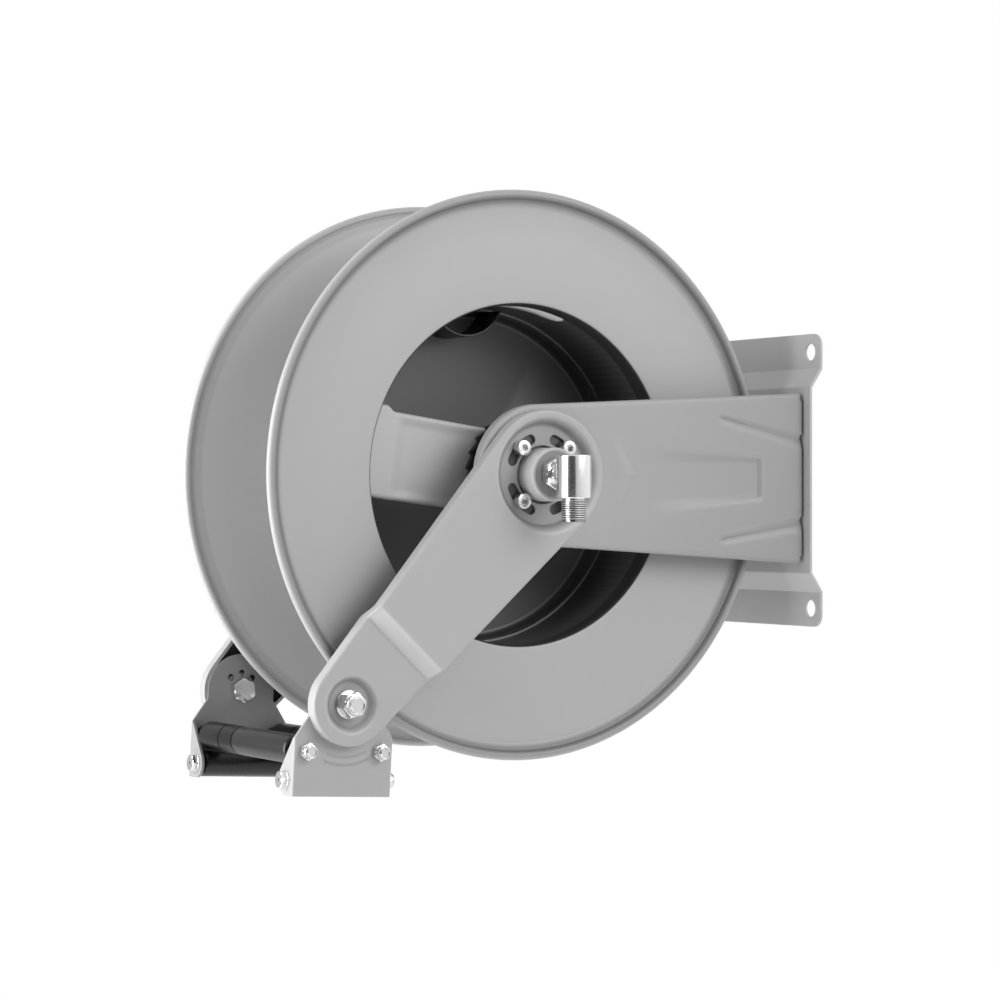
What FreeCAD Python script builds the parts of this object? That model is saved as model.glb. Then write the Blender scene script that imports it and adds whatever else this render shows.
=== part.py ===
import FreeCAD, Part
import Sketcher
import math
import os
from FreeCAD import Placement, Rotation, Vector

# Spring-rewind hose reel on a wall plate. Millimetres, +Z up, wall plane Y = 0, axle along X.
# The origin is the middle of the wall plate's bolt pattern, on the wall.
doc = FreeCAD.newDocument("hose_reel")
sheet = doc.addObject("Spreadsheet::Sheet", "sizes")


# A size carries its value and the text that binds a property to the sheet.
class Size:
    def __init__(self, value, text=None):
        self.value = float(value)
        self.text = text or "%.9g" % self.value

    def join(self, other, sign, value):
        return Size(value, "(%s %s %s)" % (self.text, sign, size(other).text))

    def __add__(self, other):
        return self.join(other, "+", self.value + size(other).value)

    def __sub__(self, other):
        return self.join(other, "-", self.value - size(other).value)

    def __mul__(self, other):
        return self.join(other, "*", self.value * size(other).value)

    def __truediv__(self, other):
        return self.join(other, "/", self.value / size(other).value)

    def __neg__(self):
        return Size(-self.value, "(0 - %s)" % self.text)

    def __radd__(self, other):
        return size(other) + self

    def __rsub__(self, other):
        return size(other) - self

    def __rmul__(self, other):
        return size(other) * self


def size(value):
    return value if isinstance(value, Size) else Size(value)


def sine(angle):
    return Size(math.sin(math.radians(size(angle).value)), "sin(%s)" % size(angle).text)


def cosine(angle):
    return Size(math.cos(math.radians(size(angle).value)), "cos(%s)" % size(angle).text)


def root(value):
    return Size(math.sqrt(size(value).value), "sqrt(%s)" % size(value).text)


# Driving dimensions, part by part.
runGap = 0.3
shaftFit = 0.05
boltFit = 0.08
past = 1
wellPast = 5

flangeRadius = 240
drumHalf = 86
beadRadius = 4
flangeInset = 7.5
flangeSheet = 1.5
beadRise = 9

collarRadius = 143.5
collarDepth = 18
coreSheet = 1.5

holeWidth = 27
holeInset = 30.5
holeTurn = -1
holeHalfTurn = 19

webFace = -19
webSheet = 2
webRim = 15.5

boltChamfer = 0.8
edgeRound = 4
innerRound = 1.2
bendRound = 2.5

saddleRadius = 36.5
saddleWall = 2
saddleLength = 38
saddleAcross = -20
saddlePast = 10.5

wallClear = 45
axleRise = 3.5
shaftRadius = 15
waterBore = 9
boreStart = 4
spigotWall = 4

plateLip = 9
plateHalfHeight = 129.6
plateSheet = 2.5
hatDepth = 11.4
earHigh = 30.6
hatRun = 16.7

earCorner = 11
boltInset = 15.4
boltDrop = 16.1
boltHole = 7.5

armGap = 22
armSheet = 3
armFold = 10
armHubPast = 5
armEndInset = 7.5
armEndRise = 1.5

armFootDepth = 30
armFootInset = 8.8

armClipLong = 4
armClipHigh = 8
armNotch = 1.6
armNotchUp = 33.9
armNotchDown = 38.4

bossWall = 3.3
bossProud = 24.7
bossFlangeRim = 10.9
bossFlange = 10
bushWall = 2
bushLength = 24

thrustLip = 1.95
mouthDepth = 8.7
capThick = 4.4
capFit = 0.4

outletRise = 13
joggleFall = 10
outletSheet = 3
outletFold = 11.5
lowerFold = 9.5

hubRim = 3
endRim = 12
outletPast = 17
outletDrop = 46.15

joggleStart = 182
joggleRun = 14
joggleBend = 12

hubDishRun = 9
hubFloorRim = 10.9
bossClearance = 2.2
endDishRun = 6
endDishFloor = 16
endDishDepth = 6

screwOut = 8.8
screwShank = 4
screwHead = 6.5
screwHeadHigh = 8
socketAcross = 6
socketDeep = 4

slotHalfTurn = 23.5
slotClear = 0.5

pivotShank = 6
pivotHeadAcross = 19
pivotHeadHigh = 7.5
pivotNutHigh = 12
pivotEnd = 1.6

washerRadius = 12
washerThick = 2.5
padThick = 1.2
padInset = 1

guideSheet = 2.5
guideLip = 11.5

guideWaist = 8
guideShoulder = 28
guideTop = 31
foldStart = 3.2
foldRound = 2

guideTilt = 3.2
lockCircle = 14.6
lockRadius = 3
lockTurn = 43

rollerRadius = 12
rollerSpread = 33
rollerDrop = 38.6
rodRadius = 4
rollerPlay = 0.5
bandAt = 31

bandHalf = 13
bandGroove = 1.2
bandCut = 0.8
rollerRound = 3
journalLong = 14
journalWall = 3.5

nutAcross = 13
nutHigh = 8
nutShare = 0.62
nutBevel = 0.3
nutRing = 0.9
rodEnd = 0.8

sideRadius = 11
rollerApart = 0.9
sideGap = 0.5
sideRim = 1.3
sideNeck = 2

sideHeadAcross = 13
sideHeadHigh = 4.5
sideFlange = 7.5
sideFlangeThick = 1.2

bridgeInset = 19.5
bridgeSheet = 2.5
bridgeFold = 12
bridgeEndHalf = 37.5
bridgeHubHalf = 35
bridgeTurn = 7.6

toothCount = 24
toothTip = 52
toothDepth = 3
toothSteep = 1.9
toothAt = 145.7
toothLead = 0.9
toothBite = 1.8
ratchetHub = 7
ratchetThick = 5
ratchetInset = 10

pawlPinOut = 18.3
pawlTooth = 11
leafThick = 0.6
leafRoot = 3
leafInset = 0.7
leafGap = 0.35
pawlLong = 47
pawlBack = 8
pawlPinHead = 2.5
pawlPinRadius = 4
pawlEye = 9
pawlPinRoot = 6


caseLip = 13
caseFlangeInset = 10
caseSheet = 2
caseDepth = 45
hubWall = 4.95
hubLength = 20
caseScrewInset = 6

caseScrew = 2.5
caseScrewHead = 4.5
caseScrewHeadHigh = 3.5
caseSkin = 0.6

arborWall = 6
springWidth = 30
springStrip = 1.2
springTurns = 11
springClear = 28.4

axleShort = 2.7
axleInside = 6
axlePinRadius = 3
axlePinInset = 12.7
postRadius = 4

fittingAt = 30
fittingStub = 12
fittingSink = 3
fittingHexAcross = 27
fittingHexFrom = 38
fittingHexHigh = 12

barbRadius = 10
barbBore = 7.5
barbLong = 34
barbPlain = 6
barbDeep = 1

spigotLength = 28
spigotBore = 7.5
neckRadius = 13
hexAcross = 27
hexHigh = 8.3
elbowRadius = 14.5

elbowPast = 28.5
elbowTop = 15.8
elbowBottom = 19.8
stubRadius = 10.48
threadLong = 19.7
threadCrest = 0.2
elbowNeck = 11

threadPitch = 1.814
threadDeep = 1.16
sealRing = 0.9
sealPlay = 0.2
sealFrom = 6
spigotShort = 1
sealApart = 10
thrustThick = 3.7


class Sizes:
    pass


# Each number above goes to the sheet under its own name, and is bound from there.
at = Sizes()
named = [(name, value) for name, value in vars().items() if isinstance(value, (int, float))]
for row, (name, value) in enumerate(named):
    sheet.set("A%d" % (row + 1), name)
    sheet.set("B%d" % (row + 1), str(value))
    sheet.setAlias("B%d" % (row + 1), name)
    setattr(at, name, Size(value, "sizes." + name))
doc.recompute()

# Derived sizes and places.
axleY = -(at.flangeRadius + at.wallClear)
axleZ = at.axleRise
faceOut = at.drumHalf - at.flangeInset
faceIn = faceOut - at.flangeSheet
coreInside = at.collarRadius + at.flangeSheet
coreOutside = coreInside + at.coreSheet
holeMiddle = faceIn - at.holeInset
armFace = at.drumHalf + at.armGap
armBack = armFace - at.armSheet
bossFace = armFace + at.bossProud
bossBack = armBack - at.bossFlange
boreRadius = at.shaftRadius + at.shaftFit
bushRadius = boreRadius + at.bushWall
mouthRadius = bushRadius + at.thrustLip
bossRadius = mouthRadius + at.bossWall
bossClear = bossRadius + at.bossClearance
screwCircle = bossRadius + at.screwOut
bossFlangeRadius = screwCircle + at.bossFlangeRim
mouthFrom = bossFace - at.mouthDepth
capFrom = bossFace - at.capThick
plateFront = -(at.hatDepth + at.plateSheet)
plateHalfWidth = armFace + at.plateLip
boltHalfX = plateHalfWidth - at.boltInset
boltHalfZ = at.plateHalfHeight - at.boltDrop
earFoot = at.plateHalfHeight - at.earHigh
hatShoulder = earFoot - at.hatRun
armHalfEnd = hatShoulder - at.armEndInset
armFootHalf = armHalfEnd - at.armFootInset
hubDishFloor = screwCircle + at.hubFloorRim
hubDishTop = hubDishFloor + at.hubDishRun
outletHubRadius = hubDishTop + at.hubRim
armHubRadius = outletHubRadius + at.armHubPast
outletUpper = armFace + at.outletRise
outletLower = outletUpper - at.joggleFall
outletLength = at.flangeRadius + at.outletPast
endDishTop = at.endDishFloor + at.endDishRun
outletEndRadius = endDishTop + at.endRim
floorIn = armFace + at.runGap
floorOut = floorIn + at.outletSheet
headSeat = floorOut + at.runGap
endFloorOut = outletLower - at.endDishDepth
endFloorIn = endFloorOut - at.outletSheet
padRadius = at.endDishFloor - at.padInset
pivotY = axleY - outletLength * cosine(at.outletDrop)
pivotZ = axleZ - outletLength * sine(at.outletDrop)
guideOut = endFloorIn - at.padThick - at.runGap
guideIn = guideOut - at.guideSheet
guideHalf = at.rollerSpread + at.guideLip
sideDrop = at.rollerDrop + at.rollerRadius + at.sideRadius + at.rollerApart
sideLug = at.sideRadius + at.sideRim
sideInset = at.guideSheet + at.sideRadius + at.sideGap
guideDeep = sideDrop + sideLug
rollerHalf = guideIn - at.journalLong
journalRadius = at.rodRadius + at.journalWall
webBack = at.webFace - at.webSheet
caseEnd = webBack - at.caseDepth
caseFlange = coreInside - at.caseFlangeInset
caseRadius = caseFlange - at.caseLip
caseScrewCircle = caseFlange - at.caseScrewInset
hubRadius = bushRadius + at.hubWall
arborRadius = at.shaftRadius + at.arborWall
springPitch = (caseRadius - arborRadius - at.springClear) / at.springTurns
saddleUp = coreInside + at.saddlePast
axleEnd = bossFace - at.axleShort
axlePinAt = bossFace - at.axlePinInset
barbFrom = at.fittingHexFrom + at.fittingHexHigh
barbEnd = barbFrom + at.barbLong
spigotBore = at.shaftRadius - at.spigotWall
bridgeFace = at.drumHalf - at.bridgeInset
ratchetFace = at.drumHalf - at.ratchetInset
ratchetBack = ratchetFace - at.ratchetThick
elbowAt = bossFace + at.elbowPast
stubEnd = at.elbowBottom + at.threadLong
pawlReach = at.toothTip + at.pawlPinOut
noseRadius = at.toothTip - at.toothBite
# The pawl's blade, as shares of its length along it and of its back's height outward.
pawlOutline = [(0, 1), (0, -1), (0.3, -0.5), (0.51, 0.12), (0.81, 0.31), (0.91, 0.06), (1, 0), (0.99, 0.62),
               (0.85, 1)]

count = 0
nodes = {}


def fresh(kind):
    global count
    count += 1
    return doc.addObject(kind, "step%d" % count)


def node(label, made):
    made.Label = label
    nodes[label] = made
    return made


def bind(thing, prop, value):
    setattr(thing, prop, size(value).value)
    thing.setExpression(prop, size(value).text)


def place(thing, x, y, z, turn=None):
    thing.Placement = Placement(Vector(size(x).value, size(y).value, size(z).value), turn or Rotation())
    thing.setExpression("Placement.Base.x", size(x).text)
    thing.setExpression("Placement.Base.y", size(y).text)
    thing.setExpression("Placement.Base.z", size(z).text)
    return thing


alongX = Rotation(Vector(0, 1, 0), 90)
alongY = Rotation(Vector(1, 0, 0), -90)


def inOrder(first, second):
    # The lower end first, so that a mirrored pair can use the same lines.
    first = size(first)
    second = size(second)
    return (first, second) if first.value < second.value else (second, first)


def rod(radius, fromX, toX, y, z):
    fromX, toX = inOrder(fromX, toX)
    made = fresh("Part::Cylinder")
    bind(made, "Radius", radius)
    bind(made, "Height", size(toX) - fromX)
    return place(made, fromX, y, z, alongX)


def rodAcross(radius, fromY, toY, x, z):
    made = fresh("Part::Cylinder")
    bind(made, "Radius", radius)
    bind(made, "Height", size(toY) - fromY)
    return place(made, x, fromY, z, alongY)


def rodUp(radius, fromZ, toZ, x, y):
    made = fresh("Part::Cylinder")
    bind(made, "Radius", radius)
    bind(made, "Height", size(toZ) - fromZ)
    return place(made, x, y, fromZ)


def axial(radius, fromX, toX):
    return rod(radius, fromX, toX, axleY, axleZ)


def box(fromX, toX, fromY, toY, fromZ, toZ):
    made = fresh("Part::Box")
    bind(made, "Length", size(toX) - fromX)
    bind(made, "Width", size(toY) - fromY)
    bind(made, "Height", size(toZ) - fromZ)
    return place(made, fromX, fromY, fromZ)


def hexagon(across, fromX, toX, y, z):
    fromX, toX = inOrder(fromX, toX)
    made = fresh("Part::Prism")
    made.Polygon = 6
    bind(made, "Circumradius", size(across) / math.sqrt(3))
    bind(made, "Height", size(toX) - fromX)
    return place(made, fromX, y, z, alongX)


def fuse(parts):
    if len(parts) == 1:
        return parts[0]
    made = fresh("Part::MultiFuse")
    made.Shapes = parts
    made.Refine = True
    return made


def cut(base, tools):
    made = fresh("Part::Cut")
    made.Base = base
    made.Tool = fuse(tools)
    return made


def common(first, second):
    made = fresh("Part::MultiCommon")
    made.Shapes = [first, second]
    return made


def group(parts):
    made = fresh("Part::Compound")
    made.Links = parts
    return made


def rounded(base, choose):
    # Rounds the edges for which choose gives a radius.
    doc.recompute()
    edges = []
    for number, edge in enumerate(base.Shape.Edges):
        radius = choose(edge)
        if radius:
            edges.append((number + 1, radius.value, radius.value))
    made = fresh("Part::Fillet")
    made.Base = base
    made.Edges = edges
    return made


def lockNut(across, bore, fromX, toX, y, z):
    # A nut with bevelled corners and the round collar of its locking ring, its seat at fromX.
    side = 1 if size(toX).value > size(fromX).value else -1
    high = side * (toX - fromX)
    hexEnd = fromX + side * high * at.nutShare
    blank = hexagon(across, fromX, hexEnd, y, z)
    bevel = fresh("Part::Cone")
    corner = across / math.sqrt(3)
    bind(bevel, "Radius1", corner + at.nutBevel * high)
    bind(bevel, "Radius2", across / 2)
    bind(bevel, "Height", at.nutShare * high)
    facing = alongX if side > 0 else Rotation(Vector(0, 1, 0), -90)
    place(bevel, fromX, y, z, facing)
    collar = rod(across / 2 * at.nutRing, hexEnd, toX, y, z)
    return cut(fuse([common(blank, bevel), collar]), [rod(bore, fromX - side, toX + side, y, z)])


def mirrored(label, source):
    made = fresh("Part::Mirroring")
    made.Source = source
    made.Base = Vector(0, 0, 0)
    made.Normal = Vector(1, 0, 0)
    return node(label, made)


def originPlane(body, role):
    return [part for part in body.Origin.OriginFeatures if part.Role == role][0]


def outlined(sketch, points):
    # Each corner is bound to the sheet. A third entry on a corner is the radius of an arc to the
    # next corner, positive for an arc that turns left.
    last = len(points)
    for index, corner in enumerate(points):
        start = Vector(corner[0].value, corner[1].value, 0)
        after = points[(index + 1) % last]
        end = Vector(after[0].value, after[1].value, 0)
        if len(corner) == 2:
            sketch.addGeometry(Part.LineSegment(start, end))
            continue
        radius = corner[2].value
        half = (end - start) * 0.5
        rise = math.sqrt(max(radius * radius - half.Length ** 2, 0))
        left = Vector(-half.y, half.x, 0).normalize()
        centre = start + half + left * math.copysign(rise, radius)
        first, second = (start, end) if radius > 0 else (end, start)
        begin = math.atan2(first.y - centre.y, first.x - centre.x)
        finish = math.atan2(second.y - centre.y, second.x - centre.x)
        if finish < begin:
            finish += 2 * math.pi
        circle = Part.Circle(centre, Vector(0, 0, 1), abs(radius))
        sketch.addGeometry(Part.ArcOfCircle(circle, begin, finish))
    for index, corner in enumerate(points):
        following = (index + 1) % last
        ends = arcEnds(sketch, index, points)
        nextEnds = arcEnds(sketch, following, points)
        sketch.addConstraint(Sketcher.Constraint("Coincident", index, ends[1], following, nextEnds[0]))
    for index, corner in enumerate(points):
        begin = arcEnds(sketch, index, points)[0]
        for kind, value in (("DistanceX", corner[0]), ("DistanceY", corner[1])):
            number = sketch.addConstraint(Sketcher.Constraint(kind, -1, 1, index, begin, value.value))
            sketch.setExpression("Constraints[%d]" % number, value.text)
        if len(corner) == 3:
            number = sketch.addConstraint(Sketcher.Constraint("Radius", index, abs(corner[2].value)))
            sketch.setExpression("Constraints[%d]" % number, "abs(%s)" % corner[2].text)


def arcEnds(sketch, index, points):
    # An arc is stored counter-clockwise, so one that turns right has its ends swapped.
    corner = points[index]
    if len(corner) == 3 and corner[2].value < 0:
        return 2, 1
    return 1, 2


def sketched(role, points):
    body = fresh("PartDesign::Body")
    sketch = body.newObject("Sketcher::SketchObject", "outline%d" % count)
    sketch.AttachmentSupport = [(originPlane(body, role), "")]
    sketch.MapMode = "FlatFace"
    outlined(sketch, [tuple(size(entry) for entry in corner) for corner in points])
    return body, sketch


def turned(points, angle=360, start=0):
    # The profile is (along X, radius), turned about the axle.
    body, sketch = sketched("XY_Plane", points)
    spin = body.newObject("PartDesign::Revolution", "spin%d" % count)
    spin.Profile = sketch
    spin.ReferenceAxis = (sketch, ["H_Axis"])
    bind(spin, "Angle", angle)
    return place(body, 0, axleY, axleZ, Rotation(Vector(1, 0, 0), size(start).value))


def padX(points, fromX, toX):
    # The profile is (along Y, along Z), padded along X.
    body, sketch = sketched("YZ_Plane", points)
    pad = body.newObject("PartDesign::Pad", "pad%d" % count)
    pad.Profile = sketch
    bind(pad, "Length", size(toX) - fromX)
    return place(body, fromX, 0, 0)


def padY(points, fromY, toY):
    # The profile is (along X, along Z), padded along Y.
    body, sketch = sketched("XZ_Plane", points)
    pad = body.newObject("PartDesign::Pad", "pad%d" % count)
    pad.Profile = sketch
    pad.Reversed = True
    bind(pad, "Length", size(toY) - fromY)
    return place(body, 0, fromY, 0)


# Wall plate: a hat section with two ears and four bolt holes.
def wallPlate():
    step = at.plateSheet * (at.hatDepth / (earFoot - hatShoulder)) / 2
    front = -at.plateSheet
    top = at.plateHalfHeight
    points = [
        (front, top), (front, earFoot), (plateFront, hatShoulder), (plateFront, -hatShoulder),
        (front, -earFoot), (front, -top), (0, -top), (0, step - earFoot),
        (-at.hatDepth, step - hatShoulder), (-at.hatDepth, hatShoulder - step),
        (0, earFoot - step), (0, top),
    ]
    plate = padX(points, -plateHalfWidth, plateHalfWidth)
    cuts = []
    for sideX in (-1, 1):
        for sideZ in (-1, 1):
            cuts.append(rodAcross(at.boltHole, plateFront, 1, sideX * boltHalfX, sideZ * boltHalfZ))

    def bends(edge):
        # Outer bends get the wide radius and inner ones the small one.
        middle = edge.CenterOfMass
        if abs(middle.x) > 0.01 or abs(middle.z) > at.plateHalfHeight.value - 1:
            return None
        atFront = abs(middle.y - plateFront.value) < 0.01
        atWall = abs(middle.y) < 0.01
        return at.edgeRound if atFront or atWall else at.innerRound

    def corners(edge):
        middle = edge.CenterOfMass
        atSide = abs(abs(middle.x) - plateHalfWidth.value) < 0.01
        atEnd = abs(abs(middle.z) - at.plateHalfHeight.value) < 0.01
        return at.earCorner if atSide and atEnd else None

    bent = rounded(plate, bends)
    node("wall_plate", cut(rounded(bent, corners), cuts))


# A round-ended tray outline along +Y: a circle at the start, a circle at the end, and their tangents.
def hull(startRadius, endRadius, length, fromX, toX):
    lean = (startRadius - endRadius) / length
    flat = root(1 - lean * lean)
    strip = [
        (startRadius * lean, -startRadius * flat), (length + endRadius * lean, -endRadius * flat),
        (length + endRadius * lean, endRadius * flat), (startRadius * lean, startRadius * flat),
    ]
    web = padX(strip, fromX, toX)
    return fuse([web, rod(startRadius, fromX, toX, 0, 0), rod(endRadius, fromX, toX, length, 0)])


# Profile of the outlet arm seen from its side, (along X, along the arm), padded across it.
def joggled(drop, upperFloor, lowerFloor):
    wide = outletHubRadius + at.wellPast
    long = outletLength + outletEndRadius + at.wellPast
    turnFrom = at.joggleStart
    turnTo = at.joggleStart + at.joggleRun
    upper = outletUpper - drop
    lower = outletLower - drop
    fall = outletUpper - outletLower
    slope = root(fall * fall + at.joggleRun * at.joggleRun)
    tangent = at.joggleBend * fall / (slope + at.joggleRun)
    stepX = tangent * fall / slope
    stepY = tangent * at.joggleRun / slope
    points = [
        (upper, -wide), (upper, turnFrom - tangent, at.joggleBend), (upper - stepX, turnFrom + stepY),
        (lower + stepX, turnTo - stepY, -at.joggleBend), (lower, turnTo + tangent), (lower, long),
        (lowerFloor, long), (lowerFloor, turnTo), (upperFloor, turnFrom), (upperFloor, -wide),
    ]
    body, sketch = sketched("XY_Plane", points)
    pad = body.newObject("PartDesign::Pad", "pad%d" % count)
    pad.Profile = sketch
    pad.Midplane = True
    bind(pad, "Length", 2 * wide)
    return place(body, 0, 0, 0)


def cone(topRadius, floorRadius, fromX, toX, y):
    made = fresh("Part::Cone")
    bind(made, "Radius1", floorRadius)
    bind(made, "Radius2", topRadius)
    bind(made, "Height", size(toX) - fromX)
    return place(made, fromX, y, 0, alongX)


def arcSlot(circle, halfWidth, middle, halfTurn, fromX, toX):
    # A kidney slot about the X axis at the origin, its middle turned from +Y towards +Z.
    inner = circle - halfWidth
    outer = circle + halfWidth
    body, sketch = sketched("XY_Plane", [(fromX, inner), (toX, inner), (toX, outer), (fromX, outer)])
    spin = body.newObject("PartDesign::Revolution", "spin%d" % count)
    spin.Profile = sketch
    spin.ReferenceAxis = (sketch, ["H_Axis"])
    bind(spin, "Angle", 2 * size(halfTurn))
    begin = size(middle) - halfTurn
    finish = size(middle) + halfTurn
    place(body, 0, 0, 0, Rotation(Vector(1, 0, 0), begin.value))
    ends = [rod(halfWidth, fromX, toX, circle * cosine(turn), circle * sine(turn))
            for turn in (begin, finish)]
    return fuse([body] + ends)


def toArm(shape):
    # From the arm's own frame, +Y along the arm, to its place on the axle.
    made = fresh("Part::Compound")
    made.Links = [shape]
    turn = Rotation(Vector(1, 0, 0), 180 + at.outletDrop.value)
    return place(made, 0, axleY, axleZ, turn)


# Outlet arm: a pressed tray with a joggle, a dished hub with four kidney slots and a dished end.
def outletArm():
    upperFloor = outletUpper - at.outletFold
    lowerFloor = outletLower - at.lowerFold
    sheetIn = at.outletSheet
    below = lowerFloor - at.wellPast
    above = outletUpper + at.wellPast
    whole = hull(outletHubRadius, outletEndRadius, outletLength, below, above)
    block = common(whole, joggled(0, upperFloor, lowerFloor))
    hollow = hull(outletHubRadius - sheetIn, outletEndRadius - sheetIn, outletLength, below, above)
    void = common(hollow, joggled(sheetIn, upperFloor - at.wellPast, below))

    def rim(limit, radius):
        # The rim of the outer side, but not the lines across the joggle.
        def choose(edge):
            bounds = edge.BoundBox
            return radius if bounds.XMin > limit.value - 0.05 and bounds.YLength > 0.05 else None
        return choose

    outer = rounded(block, rim(outletLower, at.bendRound))
    tray = cut(outer, [rounded(void, rim(outletLower - sheetIn, at.innerRound))])
    hubShell = cone(hubDishTop + sheetIn, hubDishFloor + sheetIn, floorIn, outletUpper, 0)
    endShell = cone(endDishTop + sheetIn, at.endDishFloor + sheetIn, endFloorIn, outletLower,
                    outletLength)
    hubVoid = cone(hubDishTop, hubDishFloor, floorOut, outletUpper, 0)
    endVoid = cone(endDishTop, at.endDishFloor, endFloorOut, outletLower, outletLength)
    cuts = [hubVoid, endVoid, rod(bossClear, floorIn - at.past, floorOut + at.past, 0, 0)]
    cuts.append(rod(at.pivotShank, endFloorIn - at.past, endFloorOut + at.past, outletLength, 0))
    for index in range(4):
        middle = 45 + 90 * index - at.outletDrop
        cuts.append(arcSlot(screwCircle, at.screwShank + at.slotClear, middle, at.slotHalfTurn,
                            floorIn - at.past, floorOut + at.past))
    made = node("outlet_arm_right", toArm(cut(fuse([tray, hubShell, endShell]), cuts)))
    mirrored("outlet_arm_left", made)


def touching(radius, long, high):
    # Where the line from the point (long, high) touches a circle about the origin, on its upper side.
    far = long * long + high * high
    reach = root(far - radius * radius)
    return radius * (long * radius - high * reach) / far, radius * (high * radius + long * reach) / far


# Support arm: a tray from the hub to the plate, with a foot flange on the plate.
def armBlock(inset, fromX, toX):
    endTop = at.armEndRise + armHalfEnd - inset
    endLow = at.armEndRise - armHalfEnd + inset
    radius = armHubRadius - inset
    long = plateFront - inset - axleY
    upY, upZ = touching(radius, long, endTop - axleZ)
    lowY, lowZ = touching(radius, long, axleZ - endLow)
    strip = [
        (axleY + lowY, axleZ - lowZ), (plateFront - inset, endLow), (plateFront - inset, endTop),
        (axleY + upY, axleZ + upZ),
    ]
    return fuse([padX(strip, fromX, toX), axial(radius, fromX, toX)])


def supportArm():
    inner = armFace - at.armFold

    def facing(x, radius):
        def choose(edge):
            bounds = edge.BoundBox
            return radius if bounds.XMin > x.value - 0.05 else None
        return choose

    block = rounded(armBlock(size(0), inner, armFace), facing(armFace, at.edgeRound))
    void = rounded(armBlock(at.armSheet, inner - at.past, armBack), facing(armBack, at.innerRound))
    foot = box(armFace - at.armFootDepth, armFace - at.edgeRound, plateFront - at.armSheet, plateFront,
               at.armEndRise - armFootHalf, at.armEndRise + armFootHalf)
    holes = [axial(bossRadius, inner - at.past, armFace + at.past)]
    for y, z in screwPlaces():
        holes.append(rod(at.screwShank, armBack - at.past, armFace + at.past, y, z))
    top = at.armEndRise + armHalfEnd
    low = at.armEndRise - armHalfEnd
    for clipFrom, clipTo in ((top - at.armClipHigh, top + at.past), (low - at.past, low + at.armClipHigh)):
        holes.append(box(inner - at.past, armFace + at.past, plateFront - at.armClipLong, plateFront + at.past,
                         clipFrom, clipTo))
    for z in (axleZ + at.armNotchUp, axleZ - at.armNotchDown):
        holes.append(rod(at.armNotch, armFace - at.armFold, armFace + at.past, plateFront, z))
    made = node("support_arm_right", cut(fuse([cut(block, [void]), foot]), holes))
    mirrored("support_arm_left", made)


def screwPlaces():
    places = []
    for index in range(4):
        turn = 45 + 90 * index
        places.append((axleY + screwCircle * cosine(turn), axleZ + screwCircle * sine(turn)))
    return places


# Hub boss: a turned boss with a flange behind the arm. The right one holds the bush and the swivel.
def hubBosses():
    body = turned([
        (bossBack, bushRadius), (mouthFrom, bushRadius), (mouthFrom, mouthRadius),
        (bossFace, mouthRadius), (bossFace, bossRadius - at.boltChamfer),
        (bossFace - at.boltChamfer, bossRadius), (armBack, bossRadius),
        (armBack, bossFlangeRadius), (bossBack, bossFlangeRadius),
    ])
    holes = [rod(at.screwShank, bossBack - at.past, armBack + at.past, y, z) for y, z in screwPlaces()]
    node("hub_boss_right", cut(body, holes))
    left = turned([
        (-bossBack, at.shaftRadius), (-bossFace, at.shaftRadius),
        (-bossFace, bossRadius - at.boltChamfer), (at.boltChamfer - bossFace, bossRadius),
        (-armBack, bossRadius), (-armBack, bossFlangeRadius), (-bossBack, bossFlangeRadius),
    ])
    holes = [rod(at.screwShank, -armBack - at.past, -bossBack + at.past, y, z) for y, z in screwPlaces()]
    holes.append(axlePinHole())
    node("hub_boss_left", cut(left, holes))


def axlePinHole():
    return rodUp(at.axlePinRadius, axleZ - bossRadius, axleZ + bossRadius, -axlePinAt, axleY)


def screwHead(side, y, z):
    top = headSeat + at.screwHeadHigh
    shoulder = top - at.boltChamfer
    bevel = fresh("Part::Cone")
    bind(bevel, "Radius1", at.screwHead)
    bind(bevel, "Radius2", at.screwHead - at.boltChamfer)
    bind(bevel, "Height", at.boltChamfer)
    place(bevel, side * shoulder, y, z, Rotation(Vector(0, 1, 0), 90 * side))
    return fuse([rod(at.screwHead, side * headSeat, side * shoulder, y, z), bevel])


def clampScrews():
    screws = []
    for side in (-1, 1):
        for y, z in screwPlaces():
            shank = rod(at.screwShank, side * bossBack, side * headSeat, y, z)
            head = screwHead(side, y, z)
            socketFrom = headSeat + at.screwHeadHigh - at.socketDeep
            socketTo = headSeat + at.screwHeadHigh + at.past
            socket = hexagon(at.socketAcross, side * socketFrom, side * socketTo, y, z)
            screws.append(cut(fuse([shank, head]), [socket]))
    node("clamp_screws", group(screws))


def bushes():
    node("bush_right", turned([
        (bossBack, boreRadius), (bossBack + at.bushLength, boreRadius),
        (bossBack + at.bushLength, bushRadius), (bossBack, bushRadius),
    ]))
    node("bush_left", turned([
        (caseEnd, boreRadius), (caseEnd - at.hubLength, boreRadius),
        (caseEnd - at.hubLength, bushRadius), (caseEnd, bushRadius),
    ]))


# Still axle on the left, pinned in its boss, with the arbor for the spring's inner end.
def stillAxle():
    body = axial(at.shaftRadius, -axleEnd, webBack - at.axleInside)
    node("fixed_axle", cut(body, [axlePinHole()]))
    pin = rodUp(at.axlePinRadius, axleZ - bossRadius, axleZ + bossRadius, -axlePinAt, axleY)
    node("axle_pin", pin)
    springFrom = webBack - (at.caseDepth - at.caseSheet - at.springWidth) / 2
    node("spring_arbor", turned([
        (springFrom, at.shaftRadius), (springFrom - at.springWidth, at.shaftRadius),
        (springFrom - at.springWidth, arborRadius),
        (springFrom, arborRadius),
    ]))
    return springFrom


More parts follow.
